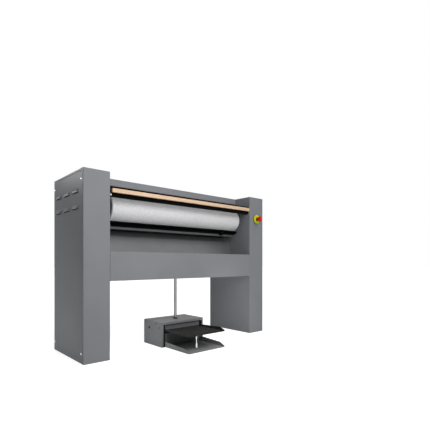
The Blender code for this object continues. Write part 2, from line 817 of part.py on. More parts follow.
def build_rear_cover(side):
    name = side_name(side)
    x0, x1 = spread(side, INNER_X + SHEET + FIT, OUTER_X - COVER_FLANGE - FIT)
    cover = shell(name + "_rear_cover", (x0, REAR_Y - COVER_FLANGE, COVER_FLOOR_GAP),
                  (x1, REAR_Y, HEIGHT - SHEET - FIT), [(0, -1, 0)], SHEET, SHEET, PAINT, steps=1)
    if side > 0:
        hole = bar("gland_hole", "Y", GLAND_HEIGHT, TOWER_X, REAR_Y - OVERRUN, REAR_Y + OVERRUN,
                   clear(GLAND_BODY_RADIUS), cutter=True)
        cut(cover, hole)
    return cover


def build_base_plate(side):
    name = side_name(side)
    x0, x1 = spread(side, INNER_X + SHEET + FIT, OUTER_X - COVER_FLANGE - FIT)
    y0 = FRONT_Y + SHEET + FIT
    y1 = REAR_Y - COVER_FLANGE - FIT
    outline = rounded([(x0, y0), (x1, y0), (x1, y1), (x0, y1)], FOLD, closed=True)
    holes = [circle(x, y, BASE_HOLE_RADIUS)
             for x in (x0 + BASE_HOLE_INSET_X, x1 - BASE_HOLE_INSET_X)
             for y in (y0 + BASE_HOLE_INSET_Y, y1 - BASE_HOLE_INSET_Y)]
    return plate(name + "_base_plate", [outline] + holes, "Z", 0, BASE_THICKNESS, STEEL)


def build_upright(side, shared_tools):
    name = side_name(side)
    web = side * UPRIGHT_X
    edge = side * (UPRIGHT_X + UPRIGHT_FLANGE)
    front = behind(UPRIGHT_FRONT_DEPTH)
    back = REAR_Y - COVER_FLANGE - FIT
    path = [(edge, back), (web, back), (web, front), (edge, front)]
    if side > 0:
        path = path[::-1]
        path = [(x, y) for x, y in path]
    path = rounded(path, UPRIGHT_SHEET + FOLD)
    upright = folded(name + "_upright", path, "Z", BASE_THICKNESS + FIT,
                     HEIGHT - UPRIGHT_TOP_GAP, UPRIGHT_SHEET, GALVANISED)
    cut(upright, *shared_tools)
    return upright


def build_towers():
    for side in (-1, 1):
        tools = tower_wall_tools(side)
        casing = build_casing(side, tools)
        if side > 0:
            bore = bar("estop_hole", "Y", ESTOP_HEIGHT, TOWER_X, FRONT_Y - OVERRUN,
                       FRONT_Y + OVERRUN, clear(ESTOP_SLEEVE_RADIUS), cutter=True)
            cut(casing, bore)
        build_side_cover(side)
        build_rear_cover(side)
        build_base_plate(side)
        build_upright(side, tools)


# Covers and beams between the towers

def build_beams():
    half = UPRIGHT_X - FIT
    y1 = behind(BEAM_BACK_DEPTH)
    y0 = y1 - BEAM_WIDTH
    for level, z0 in (("upper", UPPER_BEAM_BOTTOM), ("lower", LOWER_BEAM_BOTTOM)):
        z1 = z0 + BEAM_HEIGHT
        outer = [(y0, z0), (y1, z0), (y1, z1), (y0, z1)]
        inner = [(y0 + BEAM_WALL, z0 + BEAM_WALL), (y1 - BEAM_WALL, z0 + BEAM_WALL),
                 (y1 - BEAM_WALL, z1 - BEAM_WALL), (y0 + BEAM_WALL, z1 - BEAM_WALL)]
        outlines = [rounded(outer, BEAM_WALL, closed=True), inner]
        plate(level + "_cross_beam", outlines, "X", -half, half, STEEL)


def build_centre_covers():
    half = INNER_X - FIT
    front = behind(TOP_COVER_FRONT_DEPTH)
    path = [(front + TOP_COVER_LIP, TOP_COVER_BOTTOM), (front, TOP_COVER_BOTTOM),
            (front, HEIGHT), (REAR_Y, HEIGHT), (REAR_Y, TOP_COVER_BOTTOM)]
    folded("top_cover", rounded(path, FOLD), "X", -half, half, SHEET, PAINT)

    top = TOP_COVER_BOTTOM - FIT
    path = [(REAR_Y - REAR_HEM, top), (REAR_Y, top), (REAR_Y, APRON_BOTTOM)]
    folded("rear_cover", rounded(path, FOLD), "X", -half, half, SHEET, PAINT)

    path = [(FRONT_Y + APRON_BOTTOM_RETURN, APRON_BOTTOM), (FRONT_Y, APRON_BOTTOM),
            (FRONT_Y, APRON_TOP), (FRONT_Y + APRON_TOP_RETURN, APRON_TOP),
            (FRONT_Y + APRON_TOP_RETURN, APRON_TOP - APRON_TOP_HEM)]
    folded("apron", rounded(path, FOLD), "X", -half, half, SHEET, PAINT)

    back = REAR_Y - SHEET - FIT
    front = FRONT_Y + APRON_BOTTOM_RETURN + FIT
    path = [(back, APRON_BOTTOM + PAN_FLANGE), (back, APRON_BOTTOM),
            (front, APRON_BOTTOM), (front, APRON_BOTTOM + PAN_FLANGE)]
    pan = folded("bottom_pan", rounded(path, SHEET), "X", -half, half, SHEET, GALVANISED)
    hole = bar("pan_tube_hole", "Z", PEDAL_X, behind(TREADLE_ROD_DEPTH), APRON_BOTTOM - OVERRUN,
               APRON_BOTTOM + OVERRUN, clear(TUBE_RADIUS, ROUND_STEPS), cutter=True,
               steps=ROUND_STEPS)
    cut(pan, hole)


def build_chute():
    """Sheet that brings the linen down behind the apron and holds it in a trough."""
    half = INNER_X - FIT
    front = behind(APRON_TOP_RETURN) + FIT + CHUTE_SHEET
    floor = APRON_BOTTOM + CHUTE_FLOOR_RISE
    path = [(front, APRON_TOP - CHUTE_LIP_DROP), (front, floor),
            (behind(CHUTE_FLOOR_BACK_DEPTH), floor)]
    run = CHEST_LUG_DEPTH - CHUTE_BEFORE_LINKS - CHUTE_FLOOR_BACK_DEPTH
    rise = ROLL_HEIGHT - CHUTE_TOP_BELOW_ROLL - floor
    path += [(behind(CHUTE_FLOOR_BACK_DEPTH + run * along), floor + rise * up)
             for along, up in CHUTE_BACK_SHARES]
    folded("linen_chute", rounded(path, CHUTE_RADIUS, CHUTE_STEPS), "X", -half, half,
           CHUTE_SHEET, STAINLESS)


# Roll

def build_roll():
    half = ROLL_LENGTH / 2
    felt_outer = ROLL_RADIUS - CLOTH - FIT
    tube_outer = felt_outer - FELT - FIT
    tube_half = half - HEAD_INSET
    tube = ring("roll_tube", tube_outer - ROLL_WALL, tube_outer, -tube_half, tube_half,
                "X", ROLL_Y, ROLL_HEIGHT, STEEL, ROLL_STEPS)
    shoulder = tube_half - FELT_CHAMFER
    edge = felt_outer - FELT_CHAMFER
    felt_profile = [(tube_outer + FIT, tube_half), (edge, tube_half), (felt_outer, shoulder),
                    (felt_outer, -shoulder), (edge, -tube_half), (tube_outer + FIT, -tube_half)]
    felt = turned("roll_felt", felt_profile, "X", ROLL_Y, ROLL_HEIGHT, 0, FELT_GREY, ROLL_STEPS,
                  closed=True)
    cloth = turned("roll_cloth", cloth_profile(half), "X", ROLL_Y, ROLL_HEIGHT, 0,
                   CLOTH_WHITE, ROLL_STEPS, closed=True)
    axle = pivot("roll_axis", ROLL_Y, ROLL_HEIGHT)
    heads = [build_roll_head(side, tube_half, tube_outer) for side in (-1, 1)]
    hang(axle, tube, felt, cloth, *heads)


def cloth_profile(half):
    """Section of the cloth sleeve, drawn in over both ends of the felt."""
    def corner(sign, steps, inset):
        centre_r = ROLL_RADIUS - CLOTH_EDGE_RADIUS
        centre_x = sign * (half - CLOTH_EDGE_RADIUS)
        reach = CLOTH_EDGE_RADIUS - inset
        return [(centre_r + reach * math.cos(math.pi / 2 * k / steps),
                 centre_x + sign * reach * math.sin(math.pi / 2 * k / steps))
                for k in range(steps + 1)]

    hem = ROLL_RADIUS - CLOTH_EDGE_RADIUS - CLOTH_HEM
    outer = ([(hem, half)] + corner(1, CLOTH_EDGE_STEPS, 0)[::-1]
             + corner(-1, CLOTH_EDGE_STEPS, 0) + [(hem, -half)])
    inner = ([(hem, -half + CLOTH)] + corner(-1, 2, CLOTH)[::-1]
             + corner(1, 2, CLOTH) + [(hem, half - CLOTH)])
    return outer + inner


def build_roll_head(side, tube_half, tube_outer):
    """Disc in the end of the tube, welded to its journal."""
    name = side_name(side)
    face = tube_half - HEAD_INSET
    inner = face - HEAD_THICKNESS
    disc = tube_outer - ROLL_WALL - FIT
    collar = face + JOURNAL_COLLAR_LENGTH
    end = BEARING_X + BEARING_LENGTH + JOURNAL_END_BEYOND
    if side > 0:
        end += GEARBOX_GAP + GEARBOX_WIDTH + GEARBOX_BOSS * 2
    profile = [(0, end), (JOURNAL_RADIUS - JOURNAL_CHAMFER, end),
               (JOURNAL_RADIUS, end - JOURNAL_CHAMFER), (JOURNAL_RADIUS, collar),
               (JOURNAL_COLLAR_RADIUS, collar), (JOURNAL_COLLAR_RADIUS, face),
               (disc, face), (disc, inner), (0, inner)]
    if side < 0:
        profile = [(radius, -x) for radius, x in reversed(profile)]
    return turned(name + "_roll_head", profile, "X", ROLL_Y, ROLL_HEIGHT, 0, STEEL)


def build_bearings():
    """Flanged bearing on each upright, carrying the journal."""
    for side in (-1, 1):
        bore = JOURNAL_RADIUS + FIT
        face = BEARING_X + BEARING_FLANGE
        end = BEARING_X + BEARING_LENGTH
        profile = [(BEARING_HUB_RADIUS - BEARING_GROOVE, end),
                   (BEARING_HUB_RADIUS, end - BEARING_GROOVE), (BEARING_HUB_RADIUS, face),
                   (BEARING_FLANGE_RADIUS, face), (BEARING_FLANGE_RADIUS, BEARING_X),
                   (bore, BEARING_X), (bore, end)]
        if side < 0:
            profile = [(radius, -x) for radius, x in reversed(profile)]
        turned(side_name(side) + "_bearing", profile, "X", ROLL_Y, ROLL_HEIGHT, 0, CAST, closed=True)


# Drive

def build_gear_motor():
    """Worm gearbox round the right journal, its motor behind and below the roll's axis."""
    x0 = BEARING_X + BEARING_LENGTH + GEARBOX_GAP + GEARBOX_BOSS
    x1 = x0 + GEARBOX_WIDTH
    y0 = ROLL_Y - GEARBOX_FRONT
    y1 = ROLL_Y + GEARBOX_BACK
    z0 = ROLL_HEIGHT - GEARBOX_BOTTOM
    gearbox = box("gearbox", (x0, y0, z0), (x1, y1, ROLL_HEIGHT + GEARBOX_TOP), CAST,
                  bevel=GEARBOX_BEVEL)
    boss = bar("gearbox_boss", "X", ROLL_Y, ROLL_HEIGHT, x0 - GEARBOX_BOSS, x1 + GEARBOX_BOSS,
               GEARBOX_BOSS_RADIUS, cutter=True, steps=ROUND_STEPS)
    bore = bar("gearbox_bore", "X", ROLL_Y, ROLL_HEIGHT, x0 - OVERRUN, x1 + OVERRUN,
               clear(JOURNAL_RADIUS, ROUND_STEPS), cutter=True, steps=ROUND_STEPS)
    weld(gearbox, boss)
    cut(gearbox, bore)

    x = (x0 + x1) / 2
    z = ROLL_HEIGHT - MOTOR_DROP
    start = y1 + FIT
    step = math.tau / MOTOR_FINS / 4
    root = MOTOR_RADIUS - MOTOR_FIN_HEIGHT
    fins = []
    for fin in range(MOTOR_FINS):
        angle = math.tau * fin / MOTOR_FINS
        for turn, radius in ((-step, root), (0, MOTOR_RADIUS), (step, root)):
            fins.append((z + radius * math.sin(angle + turn), x + radius * math.cos(angle + turn)))
    seam = start + MOTOR_LENGTH - MOTOR_COWL_LENGTH
    plate("motor", [fins], "Y", start, seam, CAST)
    bar("motor_cowl", "Y", z, x, seam + FIT, start + MOTOR_LENGTH, MOTOR_RADIUS, PLASTIC_BLACK,
        steps=ROUND_STEPS)

    top = z0 - FIT
    path = [(top, x1 - BRACKET_INSET), (top, BEARING_X), (top - BRACKET_FLANGE, BEARING_X)]
    folded("motor_bracket", rounded(path, BRACKET_SHEET), "Y", y0 + BRACKET_INSET,
           y1 - BRACKET_INSET, BRACKET_SHEET, GALVANISED)


# Heated chest

def build_chest():
    lip = roll_arc(CHEST_RADIUS, CHEST_LIP_ANGLE, CHEST_BACK_ANGLE)
    end_y, end_z = lip[-1]
    rise = CHEST_FLARE
    path = lip + [(end_y + rise * CHEST_FLARE_OUT_SHARE, end_z + rise)]
    chest = folded("chest_plate", path, "X", -CHEST_HALF_LENGTH, CHEST_HALF_LENGTH,
                   CHEST_THICKNESS, BLACK_METAL)
    arms = [build_chest_arm(side) for side in (-1, 1)]
    heaters = build_heaters()
    half = CHEST_HALF_LENGTH - INSULATION_END_INSET
    wool_path = roll_arc(INSULATION_RADIUS, INSULATION_FROM_ANGLE, INSULATION_TO_ANGLE)
    wool = folded("chest_insulation", wool_path, "X", -half + FIT, half - FIT, INSULATION, WOOL)
    cover = build_chest_cover()
    probe = build_probe()
    swing = pivot("chest_axis", behind(CHEST_PIVOT_DEPTH), CHEST_PIVOT_HEIGHT)
    hang(swing, chest, *arms, heaters, wool, cover, probe)
    swing.rotation_euler.x = CHEST_OPEN
    shaft = UPRIGHT_X + UPRIGHT_SHEET
    bar("chest_pivot_shaft", "X", behind(CHEST_PIVOT_DEPTH), CHEST_PIVOT_HEIGHT, -shaft, shaft,
        CHEST_PIVOT_RADIUS, STEEL, steps=ROUND_STEPS)


def build_chest_arm(side):
    """Side plate that closes the chest's end and hangs it from the pivot shaft."""
    name = side_name(side)
    pivot_y = behind(CHEST_PIVOT_DEPTH)
    lug_y = behind(CHEST_LUG_DEPTH)
    edge = roll_arc(CHEST_RADIUS + CHEST_ARM_RING, CHEST_LIP_ANGLE, CHEST_BACK_ANGLE, SMALL_STEPS)
    outline = hull(edge + circle(pivot_y, CHEST_PIVOT_HEIGHT, CHEST_PIVOT_BOSS)
                   + circle(lug_y, CHEST_LUG_HEIGHT, CHEST_LUG_BOSS))
    holes = [circle(pivot_y, CHEST_PIVOT_HEIGHT, clear(CHEST_PIVOT_RADIUS, ROUND_STEPS), ROUND_STEPS),
             circle(lug_y, CHEST_LUG_HEIGHT, PIN_RADIUS + PIN_PLAY)]
    x0, x1 = spread(side, CHEST_HALF_LENGTH + FIT, CHEST_HALF_LENGTH + FIT + CHEST_ARM)
    arm = plate(name + "_chest_arm", [outline] + holes, "X", x0, x1, BLACK_METAL)
    bay = bar(name + "_roll_bay", "X", ROLL_Y, ROLL_HEIGHT, x0 - OVERRUN, x1 + OVERRUN,
              CHEST_RADIUS, cutter=True, steps=ROLL_STEPS)
    cut(arm, bay)
    return arm


def build_heaters():
    """Tubular element bent to and fro along the chest's back."""
    half = CHEST_HALF_LENGTH - HEATER_END_INSET
    points = []
    for run, angle in enumerate(HEATER_ANGLES):
        ends = (-half, half) if run % 2 else (half, -half)
        points += [(x, *on_roll(HEATER_CENTRE_RADIUS, angle)) for x in ends]
        if angle == HEATER_ANGLES[-1]:
            break
        step = HEATER_ANGLES[run + 1] - angle
        for k in range(1, HEATER_BEND_STEPS):
            share = k / HEATER_BEND_STEPS
            out = math.sin(math.pi * share) * HEATER_BEND_REACH
            points.append((math.copysign(half + out, ends[1]),
                           *on_roll(HEATER_CENTRE_RADIUS, angle + step * share)))
    return tube_along("chest_heater", points, HEATER_RADIUS, 2, STEEL)


def build_chest_cover():
    half = CHEST_HALF_LENGTH - INSULATION_END_INSET
    foot = CHEST_BACK_RADIUS + FIT
    outer = CHEST_COVER_RADIUS + CHEST_COVER_SHEET
    arc = roll_arc(outer, CHEST_COVER_FROM_ANGLE, CHEST_COVER_TO_ANGLE)
    path = [on_roll(foot, CHEST_COVER_FROM_ANGLE)] + arc + [on_roll(foot, CHEST_COVER_TO_ANGLE)]
    path = path[::-1]
    return folded("chest_cover", path, "X", -half, half, CHEST_COVER_SHEET, GALVANISED)


def build_probe():
    """Bracket of the temperature probe under the chest's lip."""
    near = CHEST_BACK_RADIUS + FIT
    far = near + PROBE_LENGTH
    outline = (roll_arc(far, PROBE_FROM_ANGLE, PROBE_TO_ANGLE, 2)
               + roll_arc(near, PROBE_TO_ANGLE, PROBE_FROM_ANGLE, 2))
    x = CHEST_HALF_LENGTH - PROBE_FROM_END
    return plate("probe_bracket", [outline], "X", x - PROBE_HALF_WIDTH, x + PROBE_HALF_WIDTH,
                 BLACK_METAL)


# Linkage

def build_rocker():
    """Cross shaft with a fork in front, pulled down, and two arms that push up."""
    y, z = behind(ROCKER_DEPTH), ROCKER_HEIGHT
    front_y = behind(TREADLE_ROD_DEPTH)
    back_y = behind(CHEST_LUG_DEPTH)
    end = UPRIGHT_X + UPRIGHT_SHEET
    rocker = bar("rocker", "X", y, z, -end, end, ROCKER_RADIUS, STEEL, steps=SMALL_STEPS)
    fork = boss_hull([(y, z, ROCKER_BOSS), (front_y, z, ROCKER_END_BOSS)])
    tools = []
    gap = ROCKER_FORK_GAP / 2
    for sign in (-1, 1):
        x0, x1 = sorted((PEDAL_X + sign * gap, PEDAL_X + sign * (gap + ROCKER_ARM)))
        tools.append(plate("rocker_fork", [fork], "X", x0, x1, cutter=True))
    tools.append(bar("rocker_fork_pin", "X", front_y, z, PEDAL_X - gap - ROCKER_ARM / 2,
                     PEDAL_X + gap + ROCKER_ARM / 2, PIN_RADIUS, cutter=True))
    arm = boss_hull([(y, z, ROCKER_BOSS), (back_y, z, ROCKER_END_BOSS)])
    hole = circle(back_y, z, PIN_RADIUS + PIN_PLAY)
    for side in (-1, 1):
        x0, x1 = spread(side, ROCKER_ARM_X, ROCKER_ARM_X + ROCKER_ARM)
        tools.append(plate("rocker_arm", [arm, hole], "X", x0, x1, cutter=True))
    weld(rocker, *tools)
    hang(pivot("rocker_axis", y, z), rocker)


def build_push_links():
    """Bars that carry the rocker's push up to the chest's arms."""
    y = behind(CHEST_LUG_DEPTH)
    for side in (-1, 1):
        x0, x1 = spread(side, LINK_X, LINK_X + LINK_BAR)
        outline = boss_hull([(y, ROCKER_HEIGHT, LINK_HALF_WIDTH), (y, CHEST_LUG_HEIGHT, LINK_HALF_WIDTH)])
        link = plate(side_name(side) + "_push_link", [outline], "X", x0, x1, STEEL)
        p0, p1 = spread(side, ROCKER_ARM_X - FIT, LINK_X + LINK_BAR / 2)
        low_pin = bar("link_low_pin", "X", y, ROCKER_HEIGHT, p0, p1, PIN_RADIUS, cutter=True)
        p0, p1 = spread(side, CHEST_HALF_LENGTH + FIT, LINK_X + LINK_BAR / 2)
        top_y, top_z = open_lug()
        high_pin = bar("link_high_pin", "X", top_y, top_z, p0, p1, PIN_RADIUS, cutter=True)
        weld(link, low_pin, high_pin)
        hang(pivot(side_name(side) + "_link_axis", y, ROCKER_HEIGHT), link)


def open_lug():
    """Where the chest's lug lies while the treadle is up."""
    y = CHEST_LUG_DEPTH - CHEST_PIVOT_DEPTH
    z = CHEST_LUG_HEIGHT - CHEST_PIVOT_HEIGHT
    turned_y = y * math.cos(CHEST_OPEN) - z * math.sin(CHEST_OPEN)
    turned_z = y * math.sin(CHEST_OPEN) + z * math.cos(CHEST_OPEN)
    return behind(CHEST_PIVOT_DEPTH) + turned_y, CHEST_PIVOT_HEIGHT + turned_z


def build_pull_rod():
    y = behind(TREADLE_ROD_DEPTH)
    rod = bar("pull_rod", "Z", PEDAL_X, y, TREADLE_HINGE_HEIGHT + ROD_EYE_BOSS / 2,
              ROCKER_HEIGHT - ROD_EYE_BOSS / 2, ROD_RADIUS, STEEL)
    half = ROD_EYE / 2
    eyes = []
    for z in (TREADLE_HINGE_HEIGHT, ROCKER_HEIGHT):
        outlines = [circle(y, z, ROD_EYE_BOSS)]
        eyes.append(plate("rod_eye", outlines, "X", PEDAL_X - half, PEDAL_X + half, cutter=True))
    weld(rod, *eyes)
    for z in (TREADLE_HINGE_HEIGHT, ROCKER_HEIGHT):
        cut(rod, bar("rod_eye_hole", "X", y, z, PEDAL_X - OVERRUN, PEDAL_X + OVERRUN,
                     PIN_RADIUS + PIN_PLAY, cutter=True))
    hang(slide_point("pull_rod_axis", (PEDAL_X, y, TREADLE_HINGE_HEIGHT)), rod)
    bottom = HOUSING_HEIGHT - HOUSING_SHEET - TUBE_BELOW_TOP
    top = APRON_BOTTOM + SHEET + TUBE_ABOVE_PAN
    ring("guide_tube", TUBE_RADIUS - TUBE_WALL, TUBE_RADIUS, bottom, top, "Z", PEDAL_X, y, CHROME)


# Treadle unit

def cheek_line(back, rise, tip):
    """Top line of a side, from the housing past the rise to beyond the tip."""
    front = behind(-PEDAL_REACH)
    return [(behind(HOUSING_FRONT_DEPTH), back), (behind(CHEEK_RISE_DEPTH), rise),
            (front - TINY, tip), (front - OVERRUN, tip)]


def channel(name, bottom, top, front, back, thickness, finish):
    """Sheet with both sides bent up, centred on the treadle."""
    low, high = PEDAL_X - PLATE_HALF_WIDTH, PEDAL_X + PLATE_HALF_WIDTH
    path = [(top, low), (bottom, low), (bottom, high), (top, high)]
    return folded(name, rounded(path, FOLD + thickness), "Y", front, back, thickness, finish)


def trim(item, name, outline):
    """Keep only what lies within an outline seen from the side."""
    tool = plate(name, [outline], "X", -OUTER_X, OUTER_X, cutter=True)
    boolean(item, tool, "INTERSECT")


def build_housing():
    x0 = PEDAL_X - HOUSING_HALF_WIDTH
    x1 = PEDAL_X + HOUSING_HALF_WIDTH
    y0 = behind(HOUSING_FRONT_DEPTH)
    y1 = behind(HOUSING_BACK_DEPTH)
    housing = shell("pedal_housing", (x0, y0, 0), (x1, y1, HOUSING_HEIGHT), [(0, 0, -1)],
                    HOUSING_SHEET, HOUSING_FOLD, PAINT)
    mouth = box("pedal_mouth", (PEDAL_X - HOUSING_OPEN_HALF, y0 - OVERRUN, -OVERRUN),
                (PEDAL_X + HOUSING_OPEN_HALF, y0 + OVERRUN, HOUSING_OPEN_TOP), cutter=True)
    tube = bar("housing_tube_hole", "Z", PEDAL_X, behind(TREADLE_ROD_DEPTH),
               HOUSING_HEIGHT - OVERRUN, HOUSING_HEIGHT + OVERRUN, clear(TUBE_RADIUS, ROUND_STEPS),
               cutter=True, steps=ROUND_STEPS)
    pin = bar("housing_pin_hole", "X", behind(TREADLE_HINGE_DEPTH), TREADLE_HINGE_HEIGHT,
              x0 - OVERRUN, x1 + OVERRUN, clear(TREADLE_PIN_RADIUS), cutter=True)
    cut(housing, mouth, tube, pin)


def build_floor_plate():
    """Bent plate on the floor under the treadle, its sides falling to the front."""
    front = behind(-PEDAL_REACH)
    back = behind(HOUSING_BACK_DEPTH) - HOUSING_SHEET - FIT
    floor = channel("pedal_floor_plate", 0, FLOOR_CHEEK_BACK, front, back, FLOOR_PLATE, PAINT)
    keep = [(front - OVERRUN, -OVERRUN), (back + OVERRUN, -OVERRUN),
            (back + OVERRUN, FLOOR_CHEEK_BACK + OVERRUN)] + cheek_line(FLOOR_CHEEK_BACK, FLOOR_CHEEK_RISE, FLOOR_CHEEK_TIP)
    trim(floor, "floor_plate_side", keep)


def build_treadle():
    """Foot plate with its sides run back to the hinge, and a fork for the pull rod."""
    hinge_y = behind(TREADLE_HINGE_DEPTH)
    rod_y = behind(TREADLE_ROD_DEPTH)
    front = behind(-PEDAL_REACH)
    back = hinge_y + TREADLE_BOSS
    bottom = TREADLE_TOP - TREADLE_PLATE
    crown = TREADLE_HINGE_HEIGHT + TREADLE_BOSS
    treadle = channel("treadle", bottom, max(crown, TREADLE_CHEEK_RISE), front, back,
                      TREADLE_PLATE, BLACK_METAL)
    boss = [(hinge_y + TREADLE_BOSS * math.cos(math.radians(angle)),
             TREADLE_HINGE_HEIGHT + TREADLE_BOSS * math.sin(math.radians(angle)))
            for angle in (0, 18, 36, 54, 72, 90)]
    keep = ([(front - OVERRUN, bottom - OVERRUN), (back, bottom - OVERRUN)] + boss
            + cheek_line(TREADLE_CHEEK_BACK, TREADLE_CHEEK_RISE, TREADLE_CHEEK_TIP))
    trim(treadle, "treadle_side", keep)
    hole = bar("treadle_hinge_hole", "X", hinge_y, TREADLE_HINGE_HEIGHT, -OUTER_X, OUTER_X,
               clear(TREADLE_PIN_RADIUS), cutter=True)
    slot = box("treadle_rod_slot",
               (PEDAL_X - TREADLE_SLOT_WIDTH / 2, rod_y - TREADLE_SLOT_LENGTH / 2, bottom - OVERRUN),
               (PEDAL_X + TREADLE_SLOT_WIDTH / 2, rod_y + TREADLE_SLOT_LENGTH / 2,
                TREADLE_TOP + OVERRUN / 2), cutter=True)
    cut(treadle, hole, slot)

    inner = PLATE_HALF_WIDTH - TREADLE_PLATE / 2
    guard_y = behind(TREADLE_GUARD_DEPTH)
    middle = (bottom + TREADLE_TOP) / 2
    tools = [box("treadle_upstand", (PEDAL_X - inner, guard_y, middle),
                 (PEDAL_X + inner, guard_y + CHEEK, TREADLE_GUARD_TOP), cutter=True)]
    gap = TREADLE_SLOT_WIDTH / 2
    ear_half = TREADLE_SLOT_LENGTH / 2 + CHEEK
    ear = [(rod_y - ear_half, middle), (rod_y + ear_half, middle),
           (rod_y + ear_half, TREADLE_EAR_TOP), (rod_y - ear_half, TREADLE_EAR_TOP)]
    for sign in (-1, 1):
        x0, x1 = sorted((PEDAL_X + sign * gap, PEDAL_X + sign * (gap + CHEEK)))
        tools.append(plate("treadle_ear", [ear], "X", x0, x1, cutter=True))
    tools.append(bar("treadle_rod_pin", "X", rod_y, TREADLE_HINGE_HEIGHT, PEDAL_X - gap - CHEEK / 2,
                     PEDAL_X + gap + CHEEK / 2, PIN_RADIUS, cutter=True))
    weld(treadle, *tools)
    hang(pivot("treadle_axis", hinge_y, TREADLE_HINGE_HEIGHT), treadle, build_mat())


def build_mat():
    """Ribbed rubber mat that the foot rests on."""
    half = PLATE_HALF_WIDTH - TREADLE_PLATE - FOLD - MAT_MARGIN
    front = behind(-PEDAL_REACH) + MAT_MARGIN
    back = behind(HOUSING_FRONT_DEPTH) - MAT_MARGIN
    base = TREADLE_TOP + FIT
    top = base + MAT
    pitch = (back - front) / MAT_RIBS
    outline = [(front, base), (back, base)]
    for rib in reversed(range(MAT_RIBS)):
        middle = front + pitch * rib + pitch / 2
        for y, z in ((middle + MAT_RIB_WIDTH / 2, top), (middle + MAT_RIB_WIDTH / 2, top + MAT_RIB),
                     (middle - MAT_RIB_WIDTH / 2, top + MAT_RIB), (middle - MAT_RIB_WIDTH / 2, top)):
            outline.append((y, z))
    outline = outline[:2] + [(back, top)] + outline[2:] + [(front, top)]
    return plate("treadle_mat", [outline], "X", PEDAL_X - half, PEDAL_X + half, RUBBER)


def build_treadle_fittings():
    y = behind(TREADLE_HINGE_DEPTH)
    end = HOUSING_HALF_WIDTH + FIT + TREADLE_PIN_HEAD_THICKNESS
    face = HOUSING_HALF_WIDTH + FIT
    profile = [(0, end), (TREADLE_PIN_HEAD, end), (TREADLE_PIN_HEAD, face),
               (TREADLE_PIN_RADIUS, face), (TREADLE_PIN_RADIUS, -face),
               (TREADLE_PIN_HEAD, -face), (TREADLE_PIN_HEAD, -end), (0, -end)]
    turned("treadle_pin", profile, "X", y, TREADLE_HINGE_HEIGHT, PEDAL_X, STEEL, SMALL_STEPS)

    low = FLOOR_PLATE + FIT
    lever = TREADLE_HINGE_DEPTH - STOP_DEPTH
    top = TREADLE_TOP - TREADLE_PLATE - lever * math.sin(TREADLE_STROKE) - FIT * 2
    waist = low + (top - low) * STOP_CONE_SHARE
    profile = [(0, top), (STOP_HEAD_RADIUS, top - STOP_HEAD / 2), (STOP_HEAD_RADIUS, top - STOP_HEAD),
               (STOP_WAIST_RADIUS, top - STOP_HEAD * 2), (STOP_WAIST_RADIUS, waist),
               (STOP_FOOT_RADIUS, low + STOP_HEAD), (STOP_FOOT_RADIUS, low), (0, low)]
    turned("treadle_stop", profile, "Z", PEDAL_X + STOP_X, behind(STOP_DEPTH), 0, CHROME, SMALL_STEPS)
    build_spring(low, TREADLE_TOP - TREADLE_PLATE - FIT)


def build_spring(low, high):
    """Coil that brings the treadle back up."""
    count = SPRING_TURNS * SPRING_POINTS_A_TURN
    bottom = low + SPRING_WIRE
    top = high - SPRING_WIRE
    points = []
    for k in range(count + 1):
        angle = math.tau * k / SPRING_POINTS_A_TURN
        points.append((PEDAL_X + SPRING_X + SPRING_RADIUS * math.cos(angle),
                       behind(SPRING_DEPTH) + SPRING_RADIUS * math.sin(angle),
                       bottom + (top - bottom) * k / count))
    least = min(math.dist(one, other) for i, one in enumerate(points)
                for other in points[i + SPRING_POINTS_A_TURN // 2:])
    print(f"treadle_spring: least gap to itself {(least - SPRING_WIRE * 2) * 1000:.2f} mm")
    tube_along("treadle_spring", points, SPRING_WIRE, 1, STEEL)


# Finger guard

def build_guard():
    half = INNER_X - GUARD_END_GAP
    face = behind(GUARD_DEPTH)
    back = face + GUARD_RETURN
    path = [(back, GUARD_BOTTOM), (face, GUARD_BOTTOM), (face, GUARD_TOP), (back, GUARD_TOP)]
    profile = folded("guard_profile", rounded(path, FOLD), "X", -half, half, GUARD_SHEET, BLACK_METAL)
    tools = []
    for side in (-1, 1):
        x0, x1 = spread(side, half - GUARD_END, half)
        tools.append(box("guard_end", (x0, face + GUARD_SHEET / 2, GUARD_BOTTOM + GUARD_SHEET / 2),
                         (x1, back, GUARD_TOP - GUARD_SHEET / 2), cutter=True))
        x0, x1 = spread(side, half - GUARD_END / 2, INNER_X + GUARD_PIN_REACH)
        tools.append(bar("guard_pin", "X", behind(GUARD_AXIS_DEPTH), GUARD_AXIS_HEIGHT, x0, x1,
                         GUARD_PIN_RADIUS, cutter=True))
    weld(profile, *tools)
    wood_top = GUARD_TOP - WOOD_BELOW_TOP
    wood = box("guard_wood",
               (-INNER_X + WOOD_LEFT_GAP, behind(WOOD_FRONT_DEPTH), wood_top - WOOD_HEIGHT),
               (half, face - FIT, wood_top), WOOD, bevel=WOOD_BEVEL)
    hang(pivot("guard_axis", behind(GUARD_AXIS_DEPTH), GUARD_AXIS_HEIGHT), profile, wood)


# Controls

